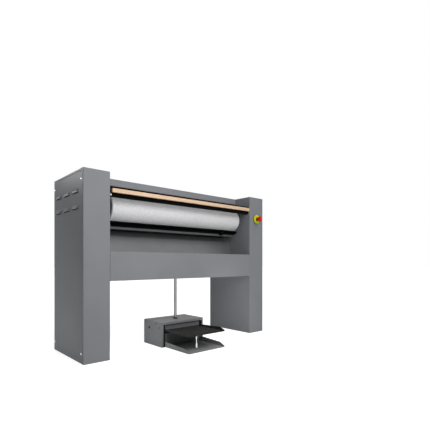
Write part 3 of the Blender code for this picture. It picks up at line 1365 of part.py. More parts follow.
def build_estop():
    back = FRONT_Y - FIT
    face = back - ESTOP_PLATE
    sleeve = FRONT_Y + ESTOP_SLEEVE_BACK
    profile = [(ESTOP_BORE + FIT, sleeve), (ESTOP_SLEEVE_RADIUS, sleeve), (ESTOP_SLEEVE_RADIUS, back),
               (ESTOP_PLATE_RADIUS, back), (ESTOP_PLATE_RADIUS, face + ESTOP_EDGE),
               (ESTOP_PLATE_RADIUS - ESTOP_EDGE, face), (ESTOP_BORE + FIT, face)]
    turned("estop_plate", profile, "Y", ESTOP_HEIGHT, TOWER_X, 0, YELLOW, closed=True)
    head_front = FRONT_Y - ESTOP_HEAD_FRONT
    head_back = FRONT_Y - ESTOP_HEAD_BACK
    stem = FRONT_Y + ESTOP_STEM_BACK
    crown = ESTOP_HEAD_RADIUS - ESTOP_HEAD_EDGE
    profile = [(0, stem), (ESTOP_BORE, stem), (ESTOP_BORE, head_back),
               (crown, head_back), (ESTOP_HEAD_RADIUS, head_back - ESTOP_HEAD_EDGE),
               (ESTOP_HEAD_RADIUS, head_front + ESTOP_HEAD_EDGE * 2),
               (crown, head_front + ESTOP_HEAD_EDGE / 2), (0, head_front)]
    button = turned("estop_button", profile, "Y", ESTOP_HEIGHT, TOWER_X, 0, RED)
    hang(slide_point("estop_axis", (TOWER_X, head_front, ESTOP_HEIGHT)), button)


def rounded_square(x, y, width, length, radius, steps=4):
    corners = [(x - width / 2, y - length / 2), (x + width / 2, y - length / 2),
               (x + width / 2, y + length / 2), (x - width / 2, y + length / 2)]
    return rounded(corners, radius, steps, closed=True)


def build_controls():
    """Membrane panel, its two keys and lamp lens, and the control box under the sheet."""
    middle = behind(PANEL_MIDDLE_DEPTH)
    low = HEIGHT + FIT
    high = low + PANEL_THICKNESS
    keys = (("start_key", TOWER_X + START_KEY_X), ("set_key", TOWER_X + SET_KEY_X))
    hole = KEY_SIDE + KEY_PLAY * 2
    outlines = [rounded_square(TOWER_X, middle, PANEL_WIDTH, PANEL_LENGTH, PANEL_CORNER)]
    outlines += [rounded_square(x, middle + KEY_Y, hole, hole, KEY_CORNER) for _, x in keys]
    outlines.append(rounded_square(TOWER_X + LAMP_X, middle, LAMP_WIDTH, LAMP_LENGTH, LAMP_CORNER))
    plate("control_panel", outlines, "Z", low, high, PLASTIC_BLACK)
    for name, x in keys:
        key = plate(name, [rounded_square(x, middle + KEY_Y, KEY_SIDE, KEY_SIDE, KEY_CORNER)], "Z",
                    low + KEY_TRAVEL, high + KEY_PROUD, PLASTIC_BLACK)
        hang(slide_point(name + "_axis", (x, middle + KEY_Y, high)), key)
    lens = rounded_square(TOWER_X + LAMP_X, middle, LAMP_WIDTH - FIT * 2, LAMP_LENGTH - FIT * 2,
                          LAMP_CORNER - FIT)
    plate("lamp_lens", [lens], "Z", low, high + FIT, WHITE_LENS)
    box("control_box",
        (TOWER_X - CONTROL_BOX_WIDTH / 2, middle - CONTROL_BOX_LENGTH / 2,
         HEIGHT - SHEET - FIT - CONTROL_BOX_HEIGHT),
        (TOWER_X + CONTROL_BOX_WIDTH / 2, middle + CONTROL_BOX_LENGTH / 2, HEIGHT - SHEET - FIT),
        PLASTIC_BLACK, bevel=CONTROL_BOX_EDGE)


def build_gland():
    face = REAR_Y + FIT
    inside = REAR_Y - COVER_FLANGE
    profile = [(GLAND_BORE, face + GLAND_LENGTH), (GLAND_BODY_RADIUS, face + GLAND_LENGTH),
               (GLAND_NUT_RADIUS, face + GLAND_NUT), (GLAND_NUT_RADIUS, face),
               (GLAND_BODY_RADIUS, face), (GLAND_BODY_RADIUS, inside), (GLAND_BORE, inside)]
    turned("cable_gland", profile, "Y", GLAND_HEIGHT, TOWER_X, 0, PLASTIC_BLACK, SMALL_STEPS, closed=True)


def main():
    build_towers()
    build_beams()
    build_centre_covers()
    build_chute()
    build_roll()
    build_bearings()
    build_gear_motor()
    build_chest()
    build_rocker()
    build_push_links()
    build_pull_rod()
    build_housing()
    build_floor_plate()
    build_treadle()
    build_treadle_fittings()
    build_guard()
    build_estop()
    build_controls()
    build_gland()


main()
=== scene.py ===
"""Looks of the chest ironer: finishes for the CAD nodes, the roll's cloth, padding, trim,
fasteners and controls, the floor, the light and the camera at the photograph's angle.

Metres, +Z up, in the CAD model's frame; the machine's front faces -Y.
"""
import math

import bmesh
import bpy
from mathutils import Matrix, Vector, noise


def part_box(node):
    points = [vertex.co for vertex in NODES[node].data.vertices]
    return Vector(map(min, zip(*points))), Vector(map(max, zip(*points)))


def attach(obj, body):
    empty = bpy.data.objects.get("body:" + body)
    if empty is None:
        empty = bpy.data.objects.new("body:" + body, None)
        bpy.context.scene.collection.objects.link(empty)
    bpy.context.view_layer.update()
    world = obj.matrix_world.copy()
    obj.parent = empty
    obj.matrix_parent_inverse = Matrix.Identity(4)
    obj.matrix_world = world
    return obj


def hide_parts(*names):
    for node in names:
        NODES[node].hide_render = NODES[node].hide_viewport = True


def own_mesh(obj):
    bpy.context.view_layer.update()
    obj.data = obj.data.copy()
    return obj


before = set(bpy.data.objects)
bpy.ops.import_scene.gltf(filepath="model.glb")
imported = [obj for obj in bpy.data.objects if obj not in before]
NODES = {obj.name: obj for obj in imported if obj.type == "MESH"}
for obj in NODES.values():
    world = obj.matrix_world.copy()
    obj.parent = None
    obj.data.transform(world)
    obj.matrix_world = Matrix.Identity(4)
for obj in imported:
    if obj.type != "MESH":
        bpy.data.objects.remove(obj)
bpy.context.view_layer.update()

# Camera, solved from the photograph's perspective
CAMERA_PLACE = (-1.654, -1.932, 0.576)
CAMERA_LOOK = (0.6036, 0.7973, 0.0)
CAMERA_LENS = 28.905
CAMERA_SENSOR = 36.0
CAMERA_SHIFT = (0.1326, 0.1109)
CAMERA_REACH = 200.0

# Suns: share of the level at which a colour renders as it is written, direction, spread in degrees
SUNS = {
    "key_sun": (0.45, (-0.20, 0.52, -0.83), 45.0),
    "back_sun": (0.62, (-0.35, -0.88, -0.32), 30.0),
}

# Lamps: share of the same level at the target, place, target, size; the glint is only reflected
LAMPS = {
    "front_lamp": (0.84, (-0.45, -1.60, 1.50), (-0.30, -0.13, 1.05), 1.5),
    "side_lamp": (0.26, (-1.30, 0.10, 0.04), (-0.82, 0.05, 0.20), 0.4),
    "low_lamp": (0.55, (-0.60, -0.05, 0.14), (-0.22, 0.0, 0.10), 0.30),
    "wall_lamp": (0.18, (0.28, -0.30, 0.22), (0.66, 0.08, 0.28), 0.30),
}
GLINT_LAMP = (0.09, (-1.65, 1.73, 1.62), (-0.82, -0.10, 1.09), 0.22)

# Sky and floor
WHITE = (1.0, 1.0, 1.0, 1.0)
SKY = 0.06
FLOOR_GLOW = 0.84
FLOOR_TONE = 0.48
FLOOR_CLOUD_TONE = 0.4728
FLOOR_CLOUD = 0.5
FLOOR_HALF = 40.0

# Screw heads: shares of the radius, and a crown in metres
SCREW_SLOT_SHARE = 0.16
SCREW_SLOT_REACH_SHARE = 0.62
SCREW_SLOT_DEPTH_SHARE = 1.2
SCREW_DOME_SHARE = 0.42
SCREW_CROWN = 0.0002
SCREW_RINGS = 6
SCREW_STEPS = 32
SCREW_TURN = 0.9

# Screws and their places: depths behind the towers' front, heights, and insets from a cover's edges
SCREW_RADIUS = 0.0060
SMALL_SCREW_RADIUS = 0.0042
SIDE_SCREW_DEPTHS = (0.029, 0.432)
SIDE_SCREW_HEIGHTS = (0.057, 1.054)
TOWER_REAR_INSET = 0.014
TOWER_REAR_HEIGHTS = (0.06, 0.40, 0.74, 1.07)
REAR_COVER_SIDE_INSET = 0.020
REAR_COVER_INSET = 0.014
REAR_COVER_COLUMNS = 5
GUARD_SCREW_INSET = 0.019
GUARD_SCREW_RISE = 0.0115
HOUSING_SCREWS = ((0.232, 0.154), (0.115, 0.155), (0.077, 0.130))

# Cloth of the roll: thickness, round of its ends, hem, gathers and sag
CLOTH = 0.0012
CLOTH_EDGE = 0.007
CLOTH_EDGE_STEPS = 6
CLOTH_HEM = 0.00999
CLOTH_HEM_STEPS = 4
CLOTH_RIPPLES = 46
CLOTH_RIPPLE = 0.0009
CLOTH_PUCKER_SHARE = 0.8
CLOTH_SAG = 0.0002
CLOTH_SAG_ALONG = 6
CLOTH_SAG_AROUND = 1.4
CLOTH_AROUND = 184
CLOTH_ALONG = 72

# Padding of the roll
PADDING_GAP = 0.0003
PADDING_SLANT = 0.004
PADDING_STEPS = 96

# Wool under the chest: radii from the roll's axis, and angles in degrees from the front
WOOL_INNER = 0.1075
WOOL_OUTER = 0.1220
WOOL_START = 86.0
WOOL_SWEEP = 98.0
WOOL_COLUMNS = 60
WOOL_TURNS = 30
WOOL_PUFF = 0.0012
WOOL_PUFF_ALONG = 30
WOOL_PUFF_AROUND = 4
WOOL_PINCH = 0.003
WOOL_PINCH_REACH = 0.010

# Emergency stop: the head as shares of its radius with depths behind its face, and its neck
ESTOP_HEAD = ((0.0, 0.0), (0.45, 0.0006), (0.78, 0.0022), (0.94, 0.0048),
              (1.0, 0.0085), (1.0, 0.0135), (0.93, 0.0165), (0.70, 0.0195))
ESTOP_NECK = 0.0095
ESTOP_NECK_DEPTH = 0.0205

# Emergency stop: rim, ring and collar; the collar as radii with heights before the ring
ESTOP_BORE = 0.0118
ESTOP_SLEEVE = 0.0145
ESTOP_SEAT = 0.0052
ESTOP_ROUND = 0.0008
RING_BORE = 0.0140
RING_OUTER_ROUND = 0.0012
RING_INNER_ROUND = 0.0010
ESTOP_COLLAR = ((0.0138, 0.0060), (0.0132, 0.0068), (0.0124, 0.0070))

# Lip under the chest: depth behind the cover's front edge, height
LIP_OUTLINE = ((0.0002, 0.8075), (-0.0016, 0.8078), (0.0004, 0.8215),
               (0.0044, 0.8221), (0.0044, 0.8207), (0.0024, 0.8203))
LIP_INSET = 0.004
LIP_ROUND = 0.0004

# Edge guards, face and recess plate of the treadle opening
OPENING_EDGE = 0.0165
EDGE_GAP = 0.0012
EDGE_LAP = 0.0022
EDGE_LEG = 0.00088
EDGE_SKIN = 0.0018
EDGE_DEPTH = 0.006
EDGE_BOTTOM = 0.001
EDGE_TOP = 0.1515
PLATE_INSET = 0.0045
PLATE_SKIN = 0.0012
TRIM_ROUND = 0.0005
FACE_BOTTOM = 0.1155
FACE_TOP_GAP = 0.0008
FACE_FRONT = -0.0773
RECESS_BOTTOM = 0.0035
RECESS_TOP = 0.0930
RECESS_DEPTH = 0.0052

# Grommet of the guide tube: reach past the tube, height above the housing
GROMMET = ((0.0003, 0.0), (0.0075, 0.0), (0.0078, 0.0012), (0.0066, 0.0030),
           (0.0028, 0.0052), (0.0008, 0.0054), (0.0003, 0.0048), (0.0003, 0.0))

# Treadle spring
SPRING_WIRE = 0.0015
SPRING_TURNS = 7
SPRING_STEPS = 24
SPRING_SIDES = 10

# Control panel: print, key frames and marks; a mark's block is its low and high corner
PRINT_SKIN = 0.0002
KEY_FRAMES = {"start_key": 0.0245, "set_key": 0.0230}
KEY_FRAME_CORNER = 0.0045
KEY_FRAME_LINE = 0.0013
KEY_FRAME_CORNER_STEPS = 6
START_MARK = ((-0.0030, -0.0040), (0.0042, 0.0), (-0.0030, 0.0040))
SET_MARKS = ((-0.0040, -0.0050, -0.0022, 0.0050), (-0.0012, -0.0045, 0.0004, -0.0033),
             (-0.0012, -0.0019, 0.0016, -0.0007), (-0.0012, 0.0007, 0.0028, 0.0019),
             (-0.0012, 0.0033, 0.0040, 0.0045))

# Lamps of the panel, their marks to the right of them, and the lamp for power
LAMP_DOME = ((0.0, 0.0006), (0.0012, 0.0005), (0.0020, 0.0003), (0.0024, 0.0), (0.0, 0.0))
LAMP_STEPS = 24
LAMP_COUNT = 4
LAMP_INSET = 0.0075
LAMP_PITCH = 0.0168
IRON_REACH = 0.0085
IRON_SOLE = ((0.0, -0.0042), (0.0115, -0.0042), (0.0100, -0.0002), (0.0040, 0.0002))
IRON_HANDLE = ((0.0030, 0.0014), (0.0046, 0.0030), (0.0100, 0.0030),
               (0.0106, 0.0042), (0.0040, 0.0042), (0.0020, 0.0018))
HEAT_DOT = (0.0, -0.0062, 0.0014, -0.0050)
HEAT_DOT_PITCH = 0.0026
POWER_LAMP_REACH = 0.0325
POWER_LAMP_INSET = 0.0154
POWER_MARK = (-0.0082, -0.0006, -0.0036, 0.0006)

# Meshes: steps of a turn, segments of a rounded edge, angles in degrees that stay sharp
TURN_STEPS = 64
AXIS_REACH = 1e-7
ROUND_SEGMENTS = 3
SHARP = 35.0
ESTOP_SHARP = 50.0
BLUNT = 60.0
SMOOTH = 180.0


# Colours

def srgb(red, green, blue):
    """Linear colour with alpha from 0 to 255 screen values."""
    def linear(value):
        share = value / 255
        return share / 12.92 if share <= 0.04045 else ((share + 0.055) / 1.055) ** 2.4

    return linear(red), linear(green), linear(blue), 1.0


def linear_light(red, green, blue):
    """Colour with alpha from linear shares of light."""
    return red, green, blue, 1.0


def lighter(colour, share):
    """The same colour, its light multiplied by a share."""
    red, green, blue, alpha = colour
    return red * share, green * share, blue * share, alpha


# Node materials

class Finish:
    """A node material: the Principled shader and short calls that add nodes to it."""

    def __init__(self, name, roughness=0.5, metallic=0.0, specular=0.5):
        self.material = bpy.data.materials.new(name)
        self.material.use_nodes = True
        self.tree = self.material.node_tree
        self.shader = self.tree.nodes["Principled BSDF"]
        self.set("Roughness", roughness)
        self.set("Metallic", metallic)
        self.set("Specular IOR Level", specular)
        self.place = self.add("ShaderNodeTexCoord").outputs["Object"]

    def add(self, kind, **settings):
        """A new node with its properties set."""
        node = self.tree.nodes.new(kind)
        for key, value in settings.items():
            setattr(node, key, value)
        return node

    def link(self, source, socket):
        """Links an output to an input."""
        self.tree.links.new(source, socket)

    def feed(self, item, socket):
        """Sets an input to a number or colour, or links an output to it."""
        if isinstance(item, (int, float, tuple)):
            socket.default_value = item
        else:
            self.link(item, socket)

    def set(self, socket, value):
        """Sets one of the shader's inputs."""
        self.shader.inputs[socket].default_value = value

    def drive(self, socket, source):
        """Links an output to one of the shader's inputs."""
        self.link(source, self.shader.inputs[socket])

    def stretched(self, stretch):
        """Object coordinates multiplied along each axis."""
        mapping = self.add("ShaderNodeMapping")
        mapping.inputs["Scale"].default_value = stretch
        self.link(self.place, mapping.inputs["Vector"])
        return mapping.outputs["Vector"]

    def noise(self, size, detail=2.0, stretch=None, rough=0.5):
        """Noise whose features are about size metres across."""
        node = self.add("ShaderNodeTexNoise")
        node.inputs["Scale"].default_value = 1 / size
        node.inputs["Detail"].default_value = detail
        node.inputs["Roughness"].default_value = rough
        self.link(self.stretched(stretch) if stretch else self.place, node.inputs["Vector"])
        return node.outputs["Fac"]

    def spangles(self, size):
        """Flat cells about size metres across, each of its own value."""
        node = self.add("ShaderNodeTexVoronoi", feature="F1")
        node.inputs["Scale"].default_value = 1 / size
        self.link(self.place, node.inputs["Vector"])
        return node.outputs["Color"]

    def bands(self, size, direction, source, distortion=0.0):
        """Soft stripes, size metres from one to the next."""
        node = self.add("ShaderNodeTexWave", bands_direction=direction)
        node.inputs["Scale"].default_value = math.tau / 20 / size
        node.inputs["Distortion"].default_value = distortion
        self.link(source, node.inputs["Vector"])
        return node.outputs["Fac"]

    def spread(self, value, low=0.0, high=1.0, start=0.0, end=1.0):
        """Value mapped from start..end to low..high."""
        node = self.add("ShaderNodeMapRange")
        for socket, number in (("From Min", start), ("From Max", end),
                               ("To Min", low), ("To Max", high)):
            node.inputs[socket].default_value = number
        self.link(value, node.inputs["Value"])
        return node.outputs["Result"]

    def maths(self, operation, first, second):
        """Two values joined by an operation."""
        node = self.add("ShaderNodeMath", operation=operation)
        self.feed(first, node.inputs[0])
        self.feed(second, node.inputs[1])
        return node.outputs["Value"]

    def between(self, share, first, second):
        """Colour from first to second by a share."""
        node = self.add("ShaderNodeMix", data_type="RGBA")
        self.link(share, node.inputs["Factor"])
        self.feed(first, node.inputs[6])
        self.feed(second, node.inputs[7])
        return node.outputs[2]

    def soft_edge(self, radius):
        """Shading normal that rounds sharp edges."""
        node = self.add("ShaderNodeBevel")
        node.inputs["Radius"].default_value = radius
        return node.outputs["Normal"]

    def wear(self, rounded):
        """How near a sharp edge each point is, from 0 to 1, told by the rounded normal."""
        flat = self.add("ShaderNodeNewGeometry").outputs["Normal"]
        facing_share = self.add("ShaderNodeVectorMath", operation="DOT_PRODUCT")
        self.link(rounded, facing_share.inputs[0])
        self.link(flat, facing_share.inputs[1])
        return self.spread(facing_share.outputs["Value"], low=1.0, high=0.0, start=0.80, end=0.995)

    def bump(self, height, distance, normal=None):
        """Normal raised and lowered by a height over a distance in metres."""
        node = self.add("ShaderNodeBump")
        node.inputs["Distance"].default_value = distance
        self.link(height, node.inputs["Height"])
        if normal:
            self.link(normal, node.inputs["Normal"])
        return node.outputs["Normal"]


def powder_coat(name, colour, speckle, roughness, specular):
    """Sheet-metal coat: orange peel, metallic speckle, faint patches and rubbed edges."""
    look = Finish(name, specular=specular)
    patches = look.spread(look.noise(size=0.22, detail=3.0), start=0.35, end=0.65)
    tone = look.between(patches, lighter(colour, 0.975), lighter(colour, 1.025))
    grain = look.spread(look.noise(size=0.0009, detail=1.0), high=speckle, start=0.56, end=0.74)
    tone = look.between(grain, tone, lighter(colour, 1.9))
    normal = look.soft_edge(radius=0.0012)
    rubs = look.spread(look.noise(size=0.03, detail=3.0), high=0.45, start=0.45, end=0.70)
    rubbed = look.maths("MULTIPLY", look.wear(normal), rubs)
    look.drive("Base Color", look.between(rubbed, tone, lighter(colour, 1.7)))
    haze = look.noise(size=0.12, detail=3.0)
    look.drive("Roughness", look.spread(haze, low=roughness, high=roughness + 0.02,
                                        start=0.3, end=0.7))
    look.drive("Normal", look.bump(look.noise(size=0.0026), distance=0.00001, normal=normal))
    return look.material


def brushed(name, colour, roughness, along="X", streak=0.12, metallic=1.0, specular=0.5):
    """Metal with fine streaks along one axis."""
    look = Finish(name, roughness, metallic, specular)
    stretch = {"X": (0.02, 1.0, 1.0), "Y": (1.0, 0.02, 1.0), "Z": (1.0, 1.0, 0.02)}[along]
    streaks = look.noise(size=0.0011, detail=3.0, stretch=stretch)
    share = look.maths("MULTIPLY", streaks, look.noise(size=0.12, detail=3.0))
    look.drive("Base Color", look.between(look.spread(share, start=0.15, end=0.40),
                                          lighter(colour, 1 - streak),
                                          lighter(colour, 1 + streak)))
    look.drive("Roughness", look.spread(streaks, low=roughness - 0.06, high=roughness + 0.10,
                                        start=0.3, end=0.7))
    normal = look.soft_edge(radius=0.0006)
    look.drive("Normal", look.bump(streaks, distance=0.00002, normal=normal))
    return look.material


def galvanised(name, colour):
    """Zinc spangle over sheet steel."""
    look = Finish(name, roughness=0.42, metallic=0.85)
    spangle = look.spangles(size=0.011)
    look.drive("Base Color", look.between(look.spread(spangle, start=0.1, end=0.9),
                                          lighter(colour, 0.80), lighter(colour, 1.18)))
    look.drive("Roughness", look.spread(spangle, low=0.34, high=0.52))
    normal = look.soft_edge(radius=0.0008)
    look.drive("Normal", look.bump(look.noise(size=0.004), distance=0.00003, normal=normal))
    return look.material


def satin_black(name, colour, roughness=0.48, specular=0.02):
    """Black stove paint with a fine grain, dusty in places and rubbed at its edges."""
    look = Finish(name, roughness, specular=specular)
    dust = look.spread(look.noise(size=0.05, detail=4.0), high=0.5, start=0.5, end=0.8)
    tone = look.between(dust, colour, lighter(colour, 2.2))
    normal = look.soft_edge(radius=0.0010)
    rubs = look.spread(look.noise(size=0.02, detail=3.0), high=0.5, start=0.45, end=0.75)
    rubbed = look.maths("MULTIPLY", look.wear(normal), rubs)
    look.drive("Base Color", look.between(rubbed, tone, srgb(58, 58, 60)))
    haze = look.noise(size=0.03, detail=3.0)
    look.drive("Roughness", look.spread(haze, low=roughness - 0.06, high=roughness + 0.1))
    look.drive("Normal", look.bump(look.noise(size=0.0012), distance=0.00003, normal=normal))
    return look.material


def casting(name, colour):
    """Painted casting with a sandy skin."""
    look = Finish(name, roughness=0.55, specular=0.35)
    clouds = look.noise(size=0.03, detail=4.0)
    tone = look.between(clouds, lighter(colour, 0.85), lighter(colour, 1.15))
    normal = look.soft_edge(radius=0.0015)
    look.drive("Base Color", look.between(look.wear(normal), tone, lighter(colour, 1.6)))
    look.drive("Roughness", look.spread(look.noise(size=0.006), low=0.48, high=0.66))
    sand = look.noise(size=0.0016, detail=3.0)
    look.drive("Normal", look.bump(sand, distance=0.00025, normal=normal))
    return look.material


def beech(name):
    """Lacquered beech with its grain and short dark flecks along X."""
    look = Finish(name, roughness=0.42, specular=0.35)
    grain = look.noise(size=0.012, detail=4.0, stretch=(0.035, 1.0, 1.0))
    tone = look.between(look.spread(grain, start=0.30, end=0.70),
                        srgb(238, 210, 182), srgb(222, 188, 154))
    rings = look.bands(0.011, "Z", look.stretched((0.05, 1.0, 1.0)), distortion=3.5)
    tone = look.between(look.spread(rings, high=0.35, start=0.55), tone, srgb(214, 172, 132))
    flecks = look.noise(size=0.0022, detail=1.0, stretch=(0.12, 1.0, 1.0))
    tone = look.between(look.spread(flecks, high=0.55, start=0.62, end=0.72),
                        tone, srgb(186, 138, 98))
    look.drive("Base Color", tone)
    look.drive("Roughness", look.spread(grain, low=0.36, high=0.50))
    normal = look.soft_edge(radius=0.0010)
    look.drive("Normal", look.bump(grain, distance=0.00006, normal=normal))
    look.set("Coat Weight", 0.15)
    look.set("Coat Roughness", 0.3)
    return look.material


def ironing_cloth(name):
    """White woven polyester, slightly fuzzy, with faint grey clouds."""
    look = Finish(name, roughness=0.92, specular=0.12)
    threads = look.add("ShaderNodeUVMap", uv_map="threads").outputs["UV"]
    weave = look.maths("MULTIPLY", look.bands(0.0016, "X", threads),
                       look.bands(0.0016, "Y", threads))
    fuzz = look.noise(size=0.0075, detail=3.0, rough=0.7)
    tufts = look.spread(fuzz, low=0.15, start=0.36, end=0.60)
    clouds = look.spread(look.noise(size=0.10), low=0.9)
    tone = look.between(look.maths("MULTIPLY", tufts, clouds),
                        srgb(224, 224, 226), srgb(249, 249, 250))
    look.drive("Base Color", look.between(look.spread(weave, high=0.25), tone,
                                          srgb(186, 186, 188)))
    height = look.maths("ADD", weave, look.maths("MULTIPLY", fuzz, 2.0))
    look.drive("Normal", look.bump(height, distance=0.00018))
    return look.material


def fibres(name, colour, size):
    """Felt or wool: tangled fibres with light and dark clumps."""
    look = Finish(name, roughness=0.97, specular=0.08)
    clumps = look.noise(size * 6, detail=4.0)
    strands = look.noise(size, detail=4.0, stretch=(1.0, 0.35, 1.0), rough=0.75)
    share = look.maths("MULTIPLY", clumps, strands)
    look.drive("Base Color", look.between(look.spread(share, start=0.12, end=0.40),
                                          lighter(colour, 0.7), lighter(colour, 1.2)))
    look.drive("Normal", look.bump(strands, distance=size * 0.4))
    look.set("Sheen Weight", 0.35)
    return look.material


def rubber(name, colour):
    """Dull rubber with pale scuffs."""
    look = Finish(name, roughness=0.78, specular=0.18)
    scuffs = look.noise(size=0.035, detail=4.0, stretch=(1.0, 0.5, 1.0))
    look.drive("Base Color", look.between(look.spread(scuffs, high=0.6, start=0.52, end=0.8),
                                          colour, lighter(colour, 2.0)))
    haze = look.noise(size=0.02, detail=3.0)
    look.drive("Roughness", look.spread(haze, low=0.68, high=0.88))
    look.drive("Normal", look.bump(look.noise(size=0.0009), distance=0.00006))
    return look.material


def moulded(name, colour, roughness, specular=0.5):
    """Moulded plastic: even colour with a fine skin and slight smears."""
    look = Finish(name, roughness, specular=specular)
    clouds = look.noise(size=0.02, detail=3.0)
    look.drive("Base Color", look.between(clouds, lighter(colour, 0.93), lighter(colour, 1.06)))
    smears = look.noise(size=0.012, detail=4.0)
    look.drive("Roughness", look.spread(smears, low=roughness - 0.05, high=roughness + 0.09))
    normal = look.soft_edge(radius=0.0008)
    look.drive("Normal", look.bump(look.noise(size=0.0011), distance=0.00002, normal=normal))
    return look.material


def chrome(name):
    """Bright plating with haze and hairline scratches."""
    look = Finish(name, roughness=0.09, metallic=1.0)
    haze = look.noise(size=0.015, detail=4.0)
    look.drive("Base Color", look.between(haze, srgb(222, 224, 228), srgb(244, 245, 247)))
    look.drive("Roughness", look.spread(haze, low=0.05, high=0.16))
    scratches = look.noise(size=0.0012, stretch=(1.0, 1.0, 0.05))
    look.drive("Normal", look.bump(scratches, distance=0.000008))
    return look.material


def smoked_lens(name):
    """Dark cover that lets a little light through."""
    look = Finish(name, roughness=0.22)
    look.set("Transmission Weight", 0.15)
    cloud = look.noise(size=0.004)
    look.drive("Base Color", look.between(cloud, srgb(24, 25, 28), srgb(38, 39, 43)))
    look.drive("Roughness", look.spread(cloud, low=0.18, high=0.32))
    return look.material


COAT = powder_coat("grey_powder_coat", srgb(137, 139, 143),
                   speckle=0.08, roughness=0.33, specular=0.08)
HOUSING_COAT = powder_coat("housing_coat", srgb(122, 123, 125),
                           speckle=0.05, roughness=0.6, specular=0.03)
FACE_COAT = powder_coat("treadle_face_coat", srgb(104, 105, 105),
                        speckle=0.05, roughness=0.6, specular=0.03)
DARK_COAT = powder_coat("dark_powder_coat", srgb(134, 135, 135),
                        speckle=0.06, roughness=0.6, specular=0.03)
STEEL = brushed("machined_steel", linear_light(0.42, 0.42, 0.43), 0.34)
CHUTE_STEEL = brushed("chute_stainless", linear_light(0.225, 0.229, 0.238), 0.36,
                      streak=0.06, metallic=0.3, specular=0.2)
COVER_STEEL = brushed("cover_sheet", linear_light(0.115, 0.118, 0.12), 0.5,
                      streak=0.10, metallic=0.2, specular=0.1)
ZINC = galvanised("zinc_sheet", linear_light(0.45, 0.46, 0.47))
CHROMED = chrome("bright_chrome")
TUBE_STEEL = brushed("polished_dark_steel", linear_light(0.30, 0.30, 0.305), 0.16,
                     along="Z", streak=0.05)
BLACK = satin_black("satin_black", srgb(9, 9, 9))
TREADLE_BLACK = satin_black("treadle_black", srgb(46, 46, 45), roughness=0.55, specular=0.1)
CAST = casting("painted_casting", linear_light(0.10, 0.12, 0.15))
BEECH = beech("lacquered_beech")
CLOTH_LOOK = ironing_cloth("woven_cloth")
FELT = fibres("needled_felt", linear_light(0.50, 0.49, 0.46), size=0.0012)
WOOL = fibres("mineral_wool_fibres", linear_light(0.52, 0.46, 0.30), size=0.0020)
RUBBER = rubber("ribbed_rubber", srgb(40, 40, 39))
EDGE_RUBBER = rubber("edge_rubber", srgb(16, 16, 16))
BLACK_PLASTIC = moulded("gloss_black_plastic", srgb(18, 18, 20), roughness=0.26, specular=0.35)
YELLOW = moulded("yellow_plastic_ring", srgb(216, 222, 16), roughness=0.4, specular=0.2)
GREY_PLASTIC = moulded("grey_plastic_rim", srgb(96, 97, 102), roughness=0.45)
RED = moulded("red_plastic_head", srgb(212, 18, 24), roughness=0.34, specular=0.22)
LENS = smoked_lens("smoked_lamp_cover")
PRINT = moulded("white_print", srgb(226, 228, 230), roughness=0.5, specular=0.3)
LAMP = moulded("lamp_window", srgb(240, 242, 244), roughness=0.25, specular=0.4)
DARK_SCREW = brushed("black_oxide_screw", linear_light(0.02, 0.02, 0.021), 0.5,
                     along="Y", metallic=0.0, specular=0.1)

FINISHES = {
    COAT: ["left_tower_casing", "right_tower_casing", "left_side_cover", "right_side_cover",
           "left_rear_cover", "right_rear_cover", "top_cover", "rear_cover", "apron"],
    HOUSING_COAT: ["pedal_housing"],
    DARK_COAT: ["pedal_floor_plate"],
    ZINC: ["left_upright", "right_upright", "bottom_pan", "motor_bracket"],
    COVER_STEEL: ["chest_cover"],
    CHUTE_STEEL: ["linen_chute"],
    STEEL: ["left_base_plate", "right_base_plate", "upper_cross_beam", "lower_cross_beam",
            "chest_pivot_shaft", "treadle_spring", "roll_tube", "left_roll_head",
            "right_roll_head", "chest_heater", "rocker", "left_push_link", "right_push_link",
            "pull_rod"],
    CHROMED: ["treadle_stop"],
    TUBE_STEEL: ["guide_tube"],
    DARK_SCREW: ["treadle_pin"],
    BLACK: ["chest_plate", "left_chest_arm", "right_chest_arm", "probe_bracket",
            "guard_profile"],
    TREADLE_BLACK: ["treadle"],
    CAST: ["left_bearing", "right_bearing", "gearbox", "motor"],
    BEECH: ["guard_wood"],
    RUBBER: ["treadle_mat"],
    BLACK_PLASTIC: ["motor_cowl", "control_panel", "control_box", "cable_gland", "start_key",
                    "set_key"],
    YELLOW: ["estop_plate"],
    RED: ["estop_button"],
    LENS: ["lamp_lens"],
}


def dress_nodes():
    """Gives each CAD node named in FINISHES its finish."""
    for finish, names in FINISHES.items():
        for name in names:
            for slot in NODES[name].material_slots:
                slot.material = finish


# Pieces and their meshes

def dress(mesh, finish, sharp=SHARP):
    """Gives a mesh a finish and smooth shading that stops at edges sharper than an angle."""
    mesh.materials.append(finish)
    mesh.shade_smooth()
    mesh.set_sharp_from_angle(angle=math.radians(sharp))


def add_object(name, data):
    """Adds an object to the scene."""
    item = bpy.data.objects.new(name, data)
    bpy.context.scene.collection.objects.link(item)
    return item


def put(name, mesh, body, matrix=None):
    """Adds a piece that rides on a body."""
    item = add_object(name, mesh)
    if matrix:
        item.matrix_world = matrix
    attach(item, body)
    return item


def show(name, bm, finish, body, matrix=None, sharp=SHARP):
    """Adds a piece made from a bmesh that rides on a body."""
    mesh = mesh_of(name, bm)
    dress(mesh, finish, sharp)
    return put(name, mesh, body, matrix)


def facing(place, direction, turn=0.0):
    """Matrix that stands a piece made along Z at a place, facing a direction."""
    rotation = Vector(direction).to_track_quat("Z", "Y").to_matrix().to_4x4()
    return Matrix.Translation(place) @ rotation @ Matrix.Rotation(turn, 4, "Z")


def mesh_of(name, bm):
    """Mesh of a bmesh, with its faces turned outwards."""
    mesh = bpy.data.meshes.new(name)
    bmesh.ops.recalc_face_normals(bm, faces=bm.faces)
    bm.to_mesh(mesh)
    bm.free()
    return mesh


